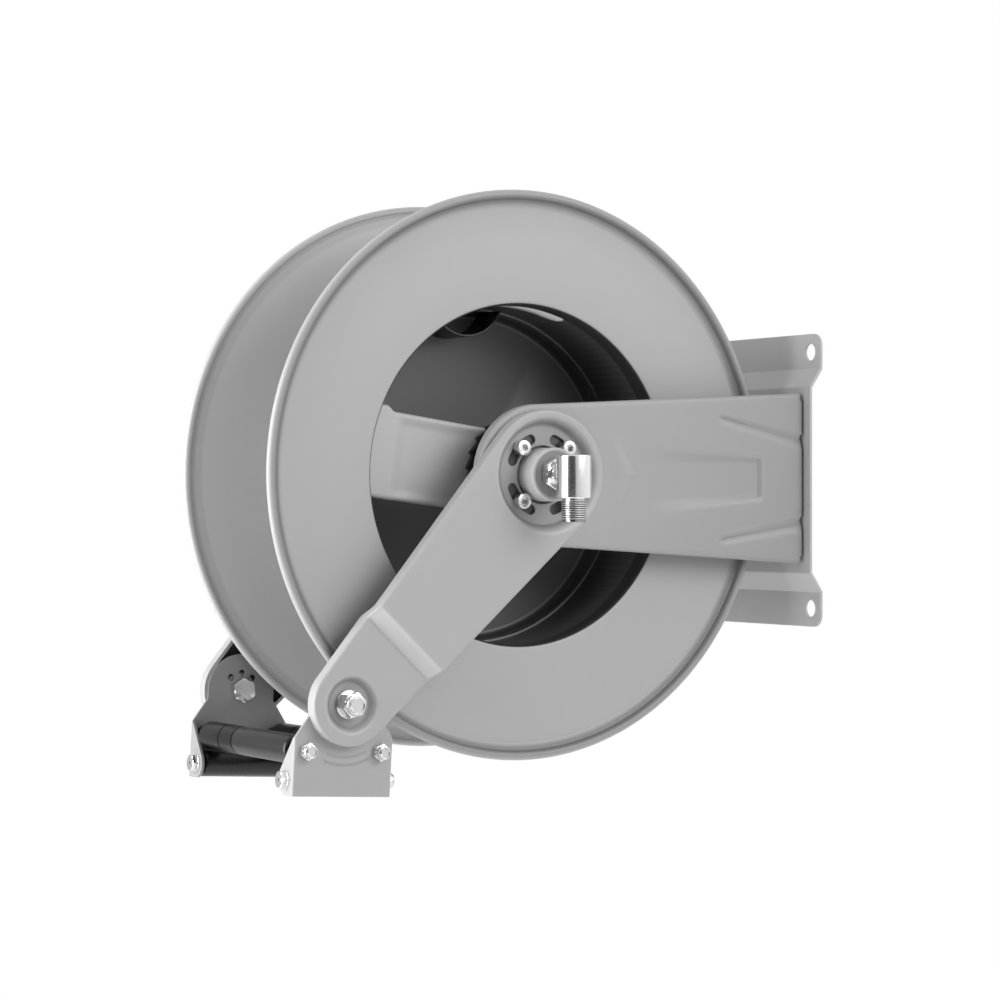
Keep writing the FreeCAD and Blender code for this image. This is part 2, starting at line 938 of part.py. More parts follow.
# Drum flange: a disc with a collar inside and a rolled edge outside.
def drumFlanges():
    tube = at.flangeRadius - at.beadRadius
    beadX = at.drumHalf - at.beadRadius
    foot = at.flangeRadius - at.beadRise - at.beadRadius
    disc = turned([
        (faceOut - at.collarDepth, at.collarRadius), (faceOut, at.collarRadius), (faceOut, foot),
        (beadX + at.beadRadius / 2, tube), (beadX, tube + at.flangeSheet), (faceIn, foot + at.flangeSheet),
        (faceIn, coreInside), (faceOut - at.collarDepth, coreInside),
    ])
    bead = fresh("Part::Torus")
    bind(bead, "Radius1", tube)
    bind(bead, "Radius2", at.beadRadius)
    place(bead, beadX, axleY, axleZ, alongX)
    made = node("drum_flange_right", fuse([disc, bead]))
    mirrored("drum_flange_left", made)


def drumCore():
    body = turned([(-faceIn, coreInside), (faceIn, coreInside), (faceIn, coreOutside), (-faceIn, coreOutside)])
    halfHole = at.holeWidth / 2
    inner = coreInside - at.wellPast
    outer = coreOutside + at.wellPast
    start = 90 - at.holeTurn - at.holeHalfTurn
    profile = [(holeMiddle - halfHole, inner), (holeMiddle + halfHole, inner),
               (holeMiddle + halfHole, outer), (holeMiddle - halfHole, outer)]
    strip = turned(profile, 2 * at.holeHalfTurn, start)
    ends = []
    for turn in (at.holeTurn - at.holeHalfTurn, at.holeTurn + at.holeHalfTurn):
        end = fresh("Part::Cylinder")
        bind(end, "Radius", halfHole)
        bind(end, "Height", outer - inner)
        place(end, holeMiddle, axleY + inner * sine(turn), axleZ + inner * cosine(turn),
              Rotation(Vector(1, 0, 0), -turn.value))
        ends.append(end)
    node("drum_core", cut(body, [strip] + ends))


def webDisc():
    rimFrom = coreInside - at.webSheet
    body = turned([
        (webBack, at.shaftRadius), (webBack, coreInside), (at.webFace + at.webRim, coreInside),
        (at.webFace + at.webRim, rimFrom), (at.webFace, rimFrom), (at.webFace, at.shaftRadius),
    ])
    holes = [rod(at.caseScrew, webBack - at.past, at.webFace - at.caseSkin, y, z) for y, z in casePlaces()]
    node("web_disc", cut(body, holes))


def casePlaces():
    places = []
    for index in range(6):
        turn = 60 * index
        places.append((axleY + caseScrewCircle * cosine(turn), axleZ + caseScrewCircle * sine(turn)))
    return places


# Sleeve that leads the hose from the web out through the core.
def hoseSaddle():
    y = axleY + at.saddleAcross
    z = axleZ + saddleUp
    end = at.webFace + at.saddleLength
    ring = cut(rod(at.saddleRadius, at.webFace, end, y, z),
               [rod(at.saddleRadius - at.saddleWall, at.webFace - at.past, end + at.past, y, z)])
    inside = axial(coreInside - at.webSheet, at.webFace, end)
    node("hose_saddle", common(ring, inside))


def springCase():
    wallOut = caseRadius + at.caseSheet
    floor = caseEnd + at.caseSheet
    body = turned([
        (webBack, caseRadius), (webBack, caseFlange), (webBack - at.caseSheet, caseFlange),
        (webBack - at.caseSheet, wallOut), (caseEnd, wallOut), (caseEnd, hubRadius),
        (caseEnd - at.hubLength, hubRadius), (caseEnd - at.hubLength, bushRadius), (floor, bushRadius),
        (floor, caseRadius),
    ])
    holes = [rod(at.caseScrew, webBack - at.caseSheet - at.past, webBack + at.past, y, z)
             for y, z in casePlaces()]
    node("spring_case", cut(body, holes))
    screws = []
    seat = webBack - at.caseSheet
    for y, z in casePlaces():
        shank = rod(at.caseScrew, seat, at.webFace - at.caseSkin, y, z)
        screws.append(fuse([shank, rod(at.caseScrewHead, seat - at.caseScrewHeadHigh, seat, y, z)]))
    node("case_screws", group(screws))


# Flat spiral spring from the arbor out to its post: half turns with two centres, one strip thick.
def mainSpring(springFrom):
    pitch = springPitch.value
    half = pitch / 4

    def spiral(offset):
        edges = []
        radius = arborRadius.value + offset
        point = Vector(0, radius, 0)
        for index in range(2 * int(at.springTurns.value)):
            side = 1 if index % 2 == 0 else -1
            centre = Vector(0, -half * side, 0)
            reach = (point - centre).Length
            middle = centre + Vector(0, 0, reach * side)
            end = centre + Vector(0, -reach * side, 0)
            edges.append(Part.Arc(point, middle, end).toShape())
            point = end
        return edges

    inner = spiral(0)
    outer = spiral(at.springStrip.value)
    loop = inner + [
        Part.makeLine(inner[-1].Vertexes[-1].Point, outer[-1].Vertexes[-1].Point),
    ] + outer + [Part.makeLine(inner[0].Vertexes[0].Point, outer[0].Vertexes[0].Point)]
    face = Part.Face(Part.Wire(Part.__sortEdges__(loop)))
    made = doc.addObject("Part::Feature", "spring")
    made.Shape = face.extrude(Vector(-at.springWidth.value, 0, 0))
    place(made, springFrom, axleY, axleZ)
    node("main_spring", made)
    lastRadius = outer[-1].Vertexes[-1].Point.Length
    reach = lastRadius + at.postRadius.value
    print("spring: outer radius %.1f, gap between turns %.2f" % (lastRadius, pitch - at.springStrip.value))
    node("spring_post", rod(at.postRadius, caseEnd + at.caseSheet, webBack, axleY + reach, axleZ))


# Hollow shaft: turns in the right bush, carries the water from the swivel to the hose fitting.
def hollowShaft():
    end = mouthFrom - at.runGap
    spigotFrom = end - at.spigotLength
    boreFrom = at.webFace + at.boreStart
    body = turned([
        (webBack, 0), (boreFrom, 0), (boreFrom, at.waterBore), (spigotFrom, at.waterBore),
        (spigotFrom, spigotBore), (end, spigotBore), (end, at.shaftRadius), (webBack, at.shaftRadius),
    ])
    port = rodAcross(at.barbBore, axleY, axleY + at.shaftRadius + at.past, at.fittingAt, axleZ)
    node("hollow_shaft", cut(body, [port]))


def hoseFitting():
    x = at.fittingAt
    seat = at.shaftRadius - at.fittingSink
    stub = rodAcross(at.fittingStub, axleY + seat, axleY + at.fittingHexFrom, x, axleZ)
    nut = fresh("Part::Prism")
    nut.Polygon = 6
    bind(nut, "Circumradius", at.fittingHexAcross / math.sqrt(3))
    bind(nut, "Height", at.fittingHexHigh)
    place(nut, x, axleY + at.fittingHexFrom, axleZ, alongY)
    pieces = [stub, nut, rodAcross(at.barbRadius - at.barbDeep, axleY + barbFrom, axleY + barbEnd, x, axleZ)]
    rings = 4
    step = (at.barbLong - at.barbPlain) / rings
    for index in range(rings):
        ring = fresh("Part::Cone")
        bind(ring, "Radius1", at.barbRadius)
        bind(ring, "Radius2", at.barbRadius - at.barbDeep)
        bind(ring, "Height", step)
        pieces.append(place(ring, x, axleY + barbFrom + at.barbPlain + step * index, axleZ, alongY))
    cuts = [rodAcross(at.barbBore, axleY + seat - at.past, axleY + barbEnd + at.past, x, axleZ)]
    cuts.append(axial(at.shaftRadius, x - at.fittingHexAcross, x + at.fittingHexAcross))
    node("hose_fitting", cut(fuse(pieces), cuts))


# Bridge: a pressed channel across the drum opening, welded to the collar and the shaft.
def bridgeBlock(inset, fromX, toX):
    reach = at.collarRadius + at.wellPast
    end = at.bridgeEndHalf - inset
    hub = at.bridgeHubHalf - inset
    return padX([(-reach, -end), (0, -hub), (reach, -end), (reach, end), (0, hub), (-reach, end)], fromX, toX)


def drumBridge():
    back = bridgeFace - at.bridgeSheet
    low = bridgeFace - at.bridgeFold
    tray = cut(bridgeBlock(size(0), low, bridgeFace), [bridgeBlock(at.bridgeSheet, low - at.past, back)])
    turnedTray = fresh("Part::Compound")
    turnedTray.Links = [tray]
    place(turnedTray, 0, axleY, axleZ, Rotation(Vector(1, 0, 0), -at.bridgeTurn.value))
    inside = axial(at.collarRadius, low - at.past, bridgeFace + at.past)
    hole = axial(at.shaftRadius, low - at.wellPast, bridgeFace + at.wellPast)
    node("drum_bridge", cut(common(turnedTray, inside), [hole]))


# Ratchet wheel: it stands still on the right boss, and the shaft turns in it.
def ratchetWheel():
    points = []
    teeth = int(at.toothCount.value)
    valley = at.toothTip - at.toothDepth
    for index in range(teeth):
        turn = 360.0 / teeth * index
        points.append((at.toothTip * cosine(turn - at.toothSteep), at.toothTip * sine(turn - at.toothSteep)))
        points.append((valley * cosine(turn), valley * sine(turn)))
    wheel = padX(points, ratchetBack, ratchetFace)
    place(wheel, ratchetBack, axleY, axleZ, Rotation(Vector(1, 0, 0), at.toothAt.value))
    hub = axial(at.shaftRadius + at.ratchetHub, ratchetFace, bossBack)
    hole = axial(at.shaftRadius + at.runGap, ratchetBack - at.past, bossBack + at.past)
    node("ratchet_wheel", cut(fuse([wheel, hub]), [hole]))


# Pawl on a pin of the bridge, its nose in a valley of the wheel, and the leaf spring behind it.
def pawlParts():
    noseTurn = at.toothAt + at.pawlTooth * 360 / at.toothCount + at.toothLead
    # The pin's place follows from the triangle of axle, pin and nose.
    cosApart = (pawlReach * pawlReach + noseRadius * noseRadius - at.pawlLong * at.pawlLong)
    cosApart = cosApart / (2 * pawlReach * noseRadius)
    sinApart = root(1 - cosApart * cosApart)
    cosPin = cosine(noseTurn) * cosApart - sine(noseTurn) * sinApart
    sinPin = sine(noseTurn) * cosApart + cosine(noseTurn) * sinApart
    y = axleY + pawlReach * cosPin
    z = axleZ + pawlReach * sinPin
    headTo = ratchetFace + at.runGap + at.pawlPinHead
    node("pawl_pin", fuse([
        rod(at.pawlPinRadius, bridgeFace, headTo, y, z),
        rod(at.pawlPinRoot, bridgeFace, ratchetBack - at.runGap, y, z),
        rod(at.pawlPinRoot, ratchetFace + at.runGap, headTo, y, z),
    ]))
    stepY = (noseRadius * cosine(noseTurn) - pawlReach * cosPin) / at.pawlLong
    stepZ = (noseRadius * sine(noseTurn) - pawlReach * sinPin) / at.pawlLong

    def corner(far, out):
        # From along the blade and outward from it to the frame's Y and Z.
        return stepY * far - stepZ * out, stepZ * far + stepY * out

    corners = [corner(far * at.pawlLong, out * at.pawlBack) for far, out in pawlOutline]
    blade = padX(corners, ratchetBack, ratchetFace)
    place(blade, ratchetBack, y, z)
    eye = rod(at.pawlEye, ratchetBack, ratchetFace, y, z)
    bore = rod(at.pawlPinRadius + at.boltFit, ratchetBack - at.past, ratchetFace + at.past, y, z)
    node("pawl", cut(fuse([blade, eye]), [bore]))
    # The leaf's root stands on the bridge behind the eye, and its free end lies on the pawl's back.
    rootFar = -at.pawlEye
    rootOut = at.pawlEye + at.leafRoot + at.leafGap
    tipFar = at.pawlLong / 2
    tipOut = at.pawlBack + at.leafGap
    strip = [corner(rootFar, rootOut), corner(tipFar, tipOut), corner(tipFar, tipOut + at.leafThick),
             corner(rootFar, rootOut + at.leafThick)]
    leafFrom = ratchetBack + at.leafInset
    leafTo = ratchetFace - at.leafInset
    leaf = padX(strip, leafFrom, leafTo)
    place(leaf, leafFrom, y, z)
    rootY, rootZ = corner(rootFar, rootOut)
    post = rod(at.leafRoot, bridgeFace, leafTo, y + rootY, z + rootZ)
    node("pawl_spring", fuse([leaf, post]))


def elbowSide():
    # Profile of the elbow's upright with its threaded stub, (along the upright, radius).
    low = -at.elbowBottom
    bevel = at.boltChamfer
    points = [(-stubEnd, 0), (-stubEnd, at.stubRadius - at.threadDeep)]
    turns = int((stubEnd.value - at.elbowBottom.value) / at.threadPitch.value) - 1
    for index in range(turns):
        begin = at.threadPitch * (index + 0.5) - stubEnd
        crest = begin + at.threadPitch / 2
        flat = at.threadPitch * at.threadCrest / 2
        points += [(begin, at.stubRadius - at.threadDeep), (crest - flat, at.stubRadius),
                   (crest + flat, at.stubRadius)]
    points += [
        (at.threadPitch * (turns + 0.5) - stubEnd, at.stubRadius - at.threadDeep),
        (low, at.stubRadius - at.threadDeep), (low, at.elbowRadius - bevel), (low + bevel, at.elbowRadius),
        (at.elbowTop - bevel, at.elbowRadius), (at.elbowTop, at.elbowRadius - bevel), (at.elbowTop, 0),
    ]
    return points


# Swivel inlet: spigot with two seals in the shaft, thrust collar, hexagon and a threaded elbow.
def inletElbow():
    shaftEnd = mouthFrom - at.runGap
    spigot = spigotBore - at.shaftFit
    tip = shaftEnd - at.spigotLength + at.spigotShort
    thrust = mouthRadius - at.runGap
    thrustFrom = mouthFrom + at.runGap
    thrustTo = thrustFrom + at.thrustThick
    hexFrom = bossFace + at.runGap
    hexTo = hexFrom + at.hexHigh
    profile = [
        (tip, 0), (elbowAt, 0), (elbowAt, at.elbowNeck), (hexTo, at.elbowNeck), (hexTo, at.neckRadius),
        (thrustTo, at.neckRadius), (thrustTo, thrust), (thrustFrom, thrust), (thrustFrom, spigot),
    ]
    seals = []
    groove = spigot - 2 * at.sealRing
    grooveHalf = at.sealRing + at.sealPlay
    for index in (1, 0):
        x = tip + at.sealFrom + at.sealApart * index
        profile += [(x + grooveHalf, spigot), (x + grooveHalf, groove), (x - grooveHalf, groove),
                    (x - grooveHalf, spigot)]
        ring = fresh("Part::Torus")
        bind(ring, "Radius1", spigot - at.sealRing)
        bind(ring, "Radius2", at.sealRing)
        seals.append(place(ring, x, axleY, axleZ, alongX))
    level = turned(profile + [(tip, spigot)])
    upright = place(turned(elbowSide()), elbowAt, axleY, axleZ, Rotation(Vector(0, 1, 0), -90))
    hexPart = hexagon(at.hexAcross, hexFrom, hexTo, axleY, axleZ)
    cuts = [rodUp(at.spigotBore, axleZ - stubEnd - at.past, axleZ, elbowAt, axleY),
            axial(at.spigotBore, tip - at.past, elbowAt)]
    node("inlet_elbow", cut(fuse([level, upright, hexPart]), cuts))
    node("swivel_seals", group(seals))
    node("swivel_cap", turned([
        (capFrom, at.neckRadius + at.capFit), (bossFace, at.neckRadius + at.capFit),
        (bossFace, mouthRadius), (capFrom, mouthRadius),
    ]))


# Pivot bolts of the guide, one on each side, with washer, locking nut and plastic pad.
def pivotSets():
    bolts = []
    washers = []
    nuts = []
    pads = []
    for side in (-1, 1):
        headTo = guideIn - at.runGap
        nutFrom = endFloorOut + at.washerThick
        nutTo = nutFrom + at.pivotNutHigh
        head = hexagon(at.pivotHeadAcross, side * (headTo - at.pivotHeadHigh), side * headTo, pivotY, pivotZ)
        shank = rod(at.pivotShank, side * headTo, side * (nutTo + at.pivotEnd), pivotY, pivotZ)
        bolts.append(fuse([head, shank]))
        washers.append(ringPiece(at.pivotShank, at.washerRadius, side * endFloorOut, side * nutFrom))
        nuts.append(lockNut(at.pivotHeadAcross, at.pivotShank, side * nutFrom, side * nutTo, pivotY, pivotZ))
        pads.append(ringPiece(at.pivotShank, padRadius, side * (endFloorIn - at.padThick), side * endFloorIn))
    node("pivot_bolts", group(bolts))
    node("pivot_washers", group(washers))
    node("pivot_nuts", group(nuts))
    node("friction_washers", group(pads))


def ringPiece(bore, radius, fromX, toX):
    return cut(rod(radius, fromX, toX, pivotY, pivotZ), [rod(bore, fromX, toX, pivotY, pivotZ)])


# The guide is drawn about the pivot, upright, and then tilted with all that hangs on it.
def toGuide(shape):
    made = fresh("Part::Compound")
    made.Links = [shape]
    return place(made, 0, pivotY, pivotZ, Rotation(Vector(1, 0, 0), -at.guideTilt.value))


def guidePlates():
    half = guideHalf
    low = -guideDeep
    face = padX([
        (-half, low), (half, low), (half, -at.guideShoulder), (at.guideTop, -at.guideWaist),
        (at.guideTop, 0, at.guideTop), (0, at.guideTop, at.guideTop), (-at.guideTop, 0),
        (-at.guideTop, -at.guideWaist),
        (-half, -at.guideShoulder),
    ], guideIn, guideOut)
    lugX = guideOut - sideInset
    lugZ = -sideDrop
    lean = guideOut - at.foldStart - lugX
    drop = sideDrop - at.guideShoulder
    far = root(lean * lean + drop * drop)
    along = root(far * far - sideLug * sideLug)
    # Tangent from the fold's top to the lug's circle.
    tangentX = lugX - sideLug * (sideLug * (-lean) + along * drop) / (far * far)
    tangentZ = lugZ + sideLug * (sideLug * drop - along * (-lean)) / (far * far)
    pieces = [face]
    for side in (-1, 1):
        y = side * half
        fromY = y if side < 0 else y - at.guideSheet
        profile = [(guideOut, -at.guideShoulder), (guideOut - at.foldStart, -at.guideShoulder),
                   (tangentX, tangentZ), (lugX, lugZ), (lugX, low), (guideOut, low)]
        pieces.append(padY(profile, fromY, fromY + at.guideSheet))
        pieces.append(rodAcross(sideLug, fromY, fromY + at.guideSheet, lugX, lugZ))
    cuts = [rod(at.pivotShank + at.boltFit, guideIn - at.past, guideOut + at.past, 0, 0)]
    for turn in (-1, 0, 1):
        angle = 90 + turn * at.lockTurn
        cuts.append(rod(at.lockRadius, guideIn - at.past, guideOut + at.past, at.lockCircle * cosine(angle),
                        at.lockCircle * sine(angle)))
    for side in (-1, 1):
        cuts.append(rod(at.rodRadius, guideIn - at.past, guideOut + at.past, side * at.rollerSpread,
                        -at.rollerDrop))
        cuts.append(rodAcross(at.rodRadius, side * half - at.wellPast, side * half + at.wellPast, lugX, lugZ))

    def folds(edge):
        bounds = edge.BoundBox
        upright = bounds.XLength < 0.01 and bounds.YLength < 0.01
        atFold = abs(bounds.XMin - guideOut.value) < 0.01 and abs(abs(bounds.YMin) - half.value) < 0.01
        return at.foldRound if upright and atFold else None

    made = node("guide_plate_right", toGuide(cut(rounded(fuse(pieces), folds), cuts)))
    mirrored("guide_plate_left", made)
    return lugX, lugZ


def rollerBody(half, end, radius, grooves):
    # A roller along X about the origin: barrel to half, journals to end, and grooves at the given places.
    bore = at.rodRadius + at.boltFit
    r = radius
    neck = journalRadius
    points = [(-end, bore), (end, bore), (end, neck), (half, neck), (half, r - at.rollerRound, at.rollerRound),
              (half - at.rollerRound, r)]
    for edge in grooves:
        points += [(edge + at.bandGroove / 2, r), (edge + at.bandGroove / 2, r - at.bandCut),
                   (edge - at.bandGroove / 2, r - at.bandCut), (edge - at.bandGroove / 2, r)]
    points += [(at.rollerRound - half, r, at.rollerRound), (-half, r - at.rollerRound), (-half, neck),
               (-end, neck)]
    body, sketch = sketched("XY_Plane", points)
    spin = body.newObject("PartDesign::Revolution", "spin%d" % count)
    spin.Profile = sketch
    spin.ReferenceAxis = (sketch, ["H_Axis"])
    bind(spin, "Angle", 360)
    return body


def rollers(lugX, lugZ):
    for name, side in (("roller_front", -1), ("roller_rear", 1)):
        bands = [at.bandHalf - at.bandAt, -at.bandHalf - at.bandAt]
        body = rollerBody(rollerHalf, guideIn - at.rollerPlay, at.rollerRadius, bands)
        place(body, 0, side * at.rollerSpread, -at.rollerDrop)
        node(name, toGuide(body))
    sideEnd = guideHalf - at.guideSheet - at.rollerPlay
    for name, side in (("roller_side_left", -1), ("roller_side_right", 1)):
        body = rollerBody(sideEnd - at.sideNeck, sideEnd, at.sideRadius, [])
        place(body, side * lugX, 0, lugZ, Rotation(Vector(0, 0, 1), 90))
        node(name, toGuide(body))


def guideFasteners(lugX, lugZ):
    rods = []
    nuts = []
    reach = guideOut + at.nutHigh + at.rodEnd
    for side in (-1, 1):
        y = side * at.rollerSpread
        rods.append(rod(at.rodRadius, -reach, reach, y, -at.rollerDrop))
        for end in (-1, 1):
            nuts.append(lockNut(at.nutAcross, at.rodRadius, end * guideOut, end * (guideOut + at.nutHigh), y,
                                -at.rollerDrop))
    node("roller_rods", toGuide(group(rods)))
    node("rod_nuts", toGuide(group(nuts)))
    bolts = []
    sideNuts = []
    half = guideHalf
    for side in (-1, 1):
        # Drawn along X and then turned to run along Y.
        headFrom = -half - at.sideFlangeThick
        turnY = Rotation(Vector(0, 0, 1), 90)
        bolt = fuse([rod(at.rodRadius, -half, half + at.nutHigh + at.rodEnd, 0, 0),
                     rod(at.sideFlange, headFrom, -half, 0, 0),
                     hexagon(at.sideHeadAcross, headFrom - at.sideHeadHigh, headFrom, 0, 0)])
        for blank, kept in ((bolt, bolts), (lockNut(at.nutAcross, at.rodRadius, half, half + at.nutHigh, 0, 0),
                                            sideNuts)):
            held = group([blank])
            kept.append(place(held, side * lugX, 0, lugZ, turnY))
    node("side_bolts", toGuide(group(bolts)))
    node("side_nuts", toGuide(group(sideNuts)))


wallPlate()
supportArm()
hubBosses()
clampScrews()
bushes()
springFrom = stillAxle()
drumFlanges()
drumCore()
webDisc()
hoseSaddle()
springCase()
mainSpring(springFrom)
hollowShaft()
hoseFitting()
drumBridge()
ratchetWheel()
pawlParts()
inletElbow()
outletArm()
pivotSets()
lugX, lugZ = guidePlates()
rollers(lugX, lugZ)
guideFasteners(lugX, lugZ)
doc.recompute()

# Every object and every sub-part is checked before anything is written.
for made in doc.Objects:
    if "Invalid" in made.State or "Error" in made.State:
        raise RuntimeError("%s (%s) did not recompute: %s" % (made.Label, made.TypeId, made.State))
for label, made in nodes.items():
    if made.Shape.isNull() or not made.Shape.isValid() or not made.Shape.Solids:
        raise RuntimeError("bad shape: " + label)

os.makedirs("parts", exist_ok=True)
for label, made in nodes.items():
    made.Shape.exportStep("parts/%s.step" % label)
    solids = len(made.Shape.Solids)
    print("%-20s solids %2d volume %10.1f" % (label, solids, made.Shape.Volume))
print(len(nodes), "nodes")
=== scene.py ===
import math
import bmesh
import bpy
from mathutils import Euler, Matrix, Vector, geometry, kdtree


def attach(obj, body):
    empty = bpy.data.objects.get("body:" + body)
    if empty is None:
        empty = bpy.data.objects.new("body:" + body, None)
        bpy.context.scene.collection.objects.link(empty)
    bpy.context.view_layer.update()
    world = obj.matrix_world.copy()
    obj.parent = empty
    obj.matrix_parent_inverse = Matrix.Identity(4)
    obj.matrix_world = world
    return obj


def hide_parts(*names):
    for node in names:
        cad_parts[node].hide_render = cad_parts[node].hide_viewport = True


# Spring-rewind hose reel on a wall plate. Metres: the drum's axle runs along X, the wall is Y = 0.
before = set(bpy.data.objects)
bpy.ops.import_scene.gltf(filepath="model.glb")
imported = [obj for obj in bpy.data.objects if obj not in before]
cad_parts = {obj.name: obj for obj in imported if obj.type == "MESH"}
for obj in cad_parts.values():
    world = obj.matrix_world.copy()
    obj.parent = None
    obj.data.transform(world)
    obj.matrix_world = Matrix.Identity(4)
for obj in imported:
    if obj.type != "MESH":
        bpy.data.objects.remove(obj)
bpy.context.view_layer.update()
mm = 0.001
white = (1, 1, 1, 1)
axle = Vector((0, -0.285, 0.0035))
guideTilt = math.radians(3.2)
armTurn = math.radians(46.15)
armLength = 0.257
pivot = axle - Vector((0, math.cos(armTurn), math.sin(armTurn))) * armLength


def linked(name, data):
    made = bpy.data.objects.new(name, data)
    bpy.context.collection.objects.link(made)
    return made


# Camera, at the photograph's angle.
view = {"place": (2.1628, -1.5219, -0.0201), "heading": 59.76, "tilt": 0.06, "lens": 103.48}
camera = linked("camera", bpy.data.cameras.new("camera"))
camera.data.lens = view["lens"]
camera.data.sensor_width = 36
camera.location = view["place"]
camera.rotation_euler = (math.radians(90 + view["tilt"]), 0, math.radians(view["heading"]))
bpy.context.scene.camera = camera
print("camera set")


# Shader maths on sockets, written as ordinary expressions.
def operator(operation, reflected=False):
    def made(self, other):
        inputs = {0: other, 1: self} if reflected else {0: self, 1: other}
        return self.shader.node("ShaderNodeMath", {"operation": operation}, inputs)
    return made


class Wire:
    def __init__(self, shader, socket):
        self.shader = shader
        self.socket = socket

    __add__ = __radd__ = operator("ADD")
    __mul__ = __rmul__ = operator("MULTIPLY")
    __sub__ = operator("SUBTRACT")
    __rsub__ = operator("SUBTRACT", True)
    __truediv__ = operator("DIVIDE")
    smallest = operator("MINIMUM")
    largest = operator("MAXIMUM")

    def absolute(self):
        return self.shader.node("ShaderNodeMath", {"operation": "ABSOLUTE"}, {0: self})

    def clamped(self):
        return self.largest(0.0).smallest(1.0)


class Graph:
    def __init__(self, tree):
        self.tree = tree

    def node(self, kind, settings, inputs, output=0):
        # The settings come first, then the values or links of the sockets.
        made = self.tree.nodes.new(kind)
        for key, value in settings.items():
            if key == "stops":
                self.setStops(made.color_ramp.elements, value)
            else:
                setattr(made, key, value)
        for key, value in inputs.items():
            self.feed(made.inputs[key], value)
        return Wire(self, made.outputs[output]) if made.outputs else made

    def setStops(self, elements, stops):
        while len(elements) > len(stops):
            elements.remove(elements[-1])
        for index, (place, shade) in enumerate(stops):
            if index >= len(elements):
                elements.new(place)
            elements[index].position = place
            elements[index].color = (shade, shade, shade, 1)

    def feed(self, socket, value):
        if isinstance(value, Wire):
            self.tree.links.new(value.socket, socket)
        else:
            socket.default_value = value

    def cameraRay(self):
        return self.node("ShaderNodeLightPath", {}, {}, "Is Camera Ray")


class Finish(Graph):
    def __init__(self, name):
        self.material = bpy.data.materials.new(name)
        self.material.use_nodes = True
        super().__init__(self.material.node_tree)
        self.surface = self.tree.nodes["Principled BSDF"]

    def set(self, **values):
        for key, value in values.items():
            self.feed(self.surface.inputs[key.replace("_", " ")], value)

    def here(self):
        return self.node("ShaderNodeTexCoord", {}, {}, "Object")

    def place(self, stretch, shift=(0, 0, 0)):
        inputs = {"Vector": self.here(), "Location": shift, "Scale": stretch}
        return self.node("ShaderNodeMapping", {}, inputs)

    def noise(self, scale, detail=2.0, stretch=(1, 1, 1)):
        inputs = {"Vector": self.place(stretch), "Scale": scale, "Detail": detail}
        return self.node("ShaderNodeTexNoise", {}, inputs)

    def fromLine(self, centre, across=(0, 1, 1)):
        # Distance in metres from a line through a point. The line runs along X, or where across is 0.
        flat = self.place(across, [-part * share for part, share in zip(centre, across)])
        return self.node("ShaderNodeVectorMath", {"operation": "LENGTH"}, {0: flat}, "Value")

    def fromAxle(self):
        return self.fromLine(axle)

    def along(self, axis):
        return self.node("ShaderNodeSeparateXYZ", {}, {"Vector": self.here()}, axis)

    def acrossDrum(self):
        return self.along("X").absolute()

    def ramp(self, value, low, high, stops):
        # Stops are (value, factor) pairs between low and high, with factors up to 4.
        share = (value - low) / (high - low)
        placed = [((at - low) / (high - low), factor / 4) for at, factor in stops]
        return self.node("ShaderNodeValToRGB", {"stops": placed}, {"Fac": share}) * 4.0

    def tint(self, amount, low, high):
        return self.node("ShaderNodeMix", {"data_type": "RGBA"}, {0: amount, 6: low, 7: high}, 2)

    def scaled(self, colour, amount):
        return self.node("ShaderNodeVectorMath", {"operation": "SCALE"}, {0: colour, "Scale": amount})

    def bump(self, height, strength, distance):
        inputs = {"Height": height, "Strength": strength, "Distance": distance}
        self.set(Normal=self.node("ShaderNodeBump", {}, inputs))


def grey(value):
    return (value, value, value, 1)


# Powder coat: fine orange peel, slow changes of shade and a little dust in the grain.
def powderCoat(name, shade, rough=0.42, peel=0.16, paintedShading=None, pressed=False):
    finish = Finish(name)
    slow = finish.noise(9.0, 3.0)
    grain = finish.noise(1100.0, 2.0)
    speck = finish.noise(420.0, 1.0)
    colour = finish.tint(slow * 0.7 + grain * 0.3, grey(shade * 0.95), grey(shade * 1.05))
    if paintedShading or pressed:
        # Painted light and shade from the given mask, and painted shade and highlight in the bends of pressed
        # sheet.
        paintedFactor = paintedShading(finish) if paintedShading else 1.0
        if pressed:
            bend = finish.node("ShaderNodeAttribute", {"attribute_name": "bend"}, {}, "Fac")
            paintedFactor = (1.0 - bend) * paintedFactor
        colour = finish.scaled(colour, paintedFactor)
    finish.set(Base_Color=colour)
    finish.set(Roughness=rough + 0.08 * (slow - 0.5) + 0.10 * (grain - 0.5))
    finish.bump(grain * 0.6 + speck * 0.4, peel, 0.0002)
    return finish.material


def platedSteel(name, shade, rough, brush=0.05, stretch=(1, 1, 1)):
    finish = Finish(name)
    fine = finish.noise(900.0, 3.0, stretch)
    cloud = finish.noise(60.0, 2.0)
    finish.set(Metallic=1.0)
    finish.set(Base_Color=finish.tint(cloud, grey(shade * 0.93), grey(shade * 1.03)))
    finish.set(Roughness=rough + brush * (fine - 0.5) + 0.06 * (cloud - 0.5))
    finish.bump(fine, 0.08, 0.0001)
    return finish.material


# Where the thread's painted shade goes on the stub of the elbow: its place across, where its thread starts
# below the axle and its root radius.
threadPaintedShade = {"at": 0.1612, "below": 0.0205, "root": 0.0096}


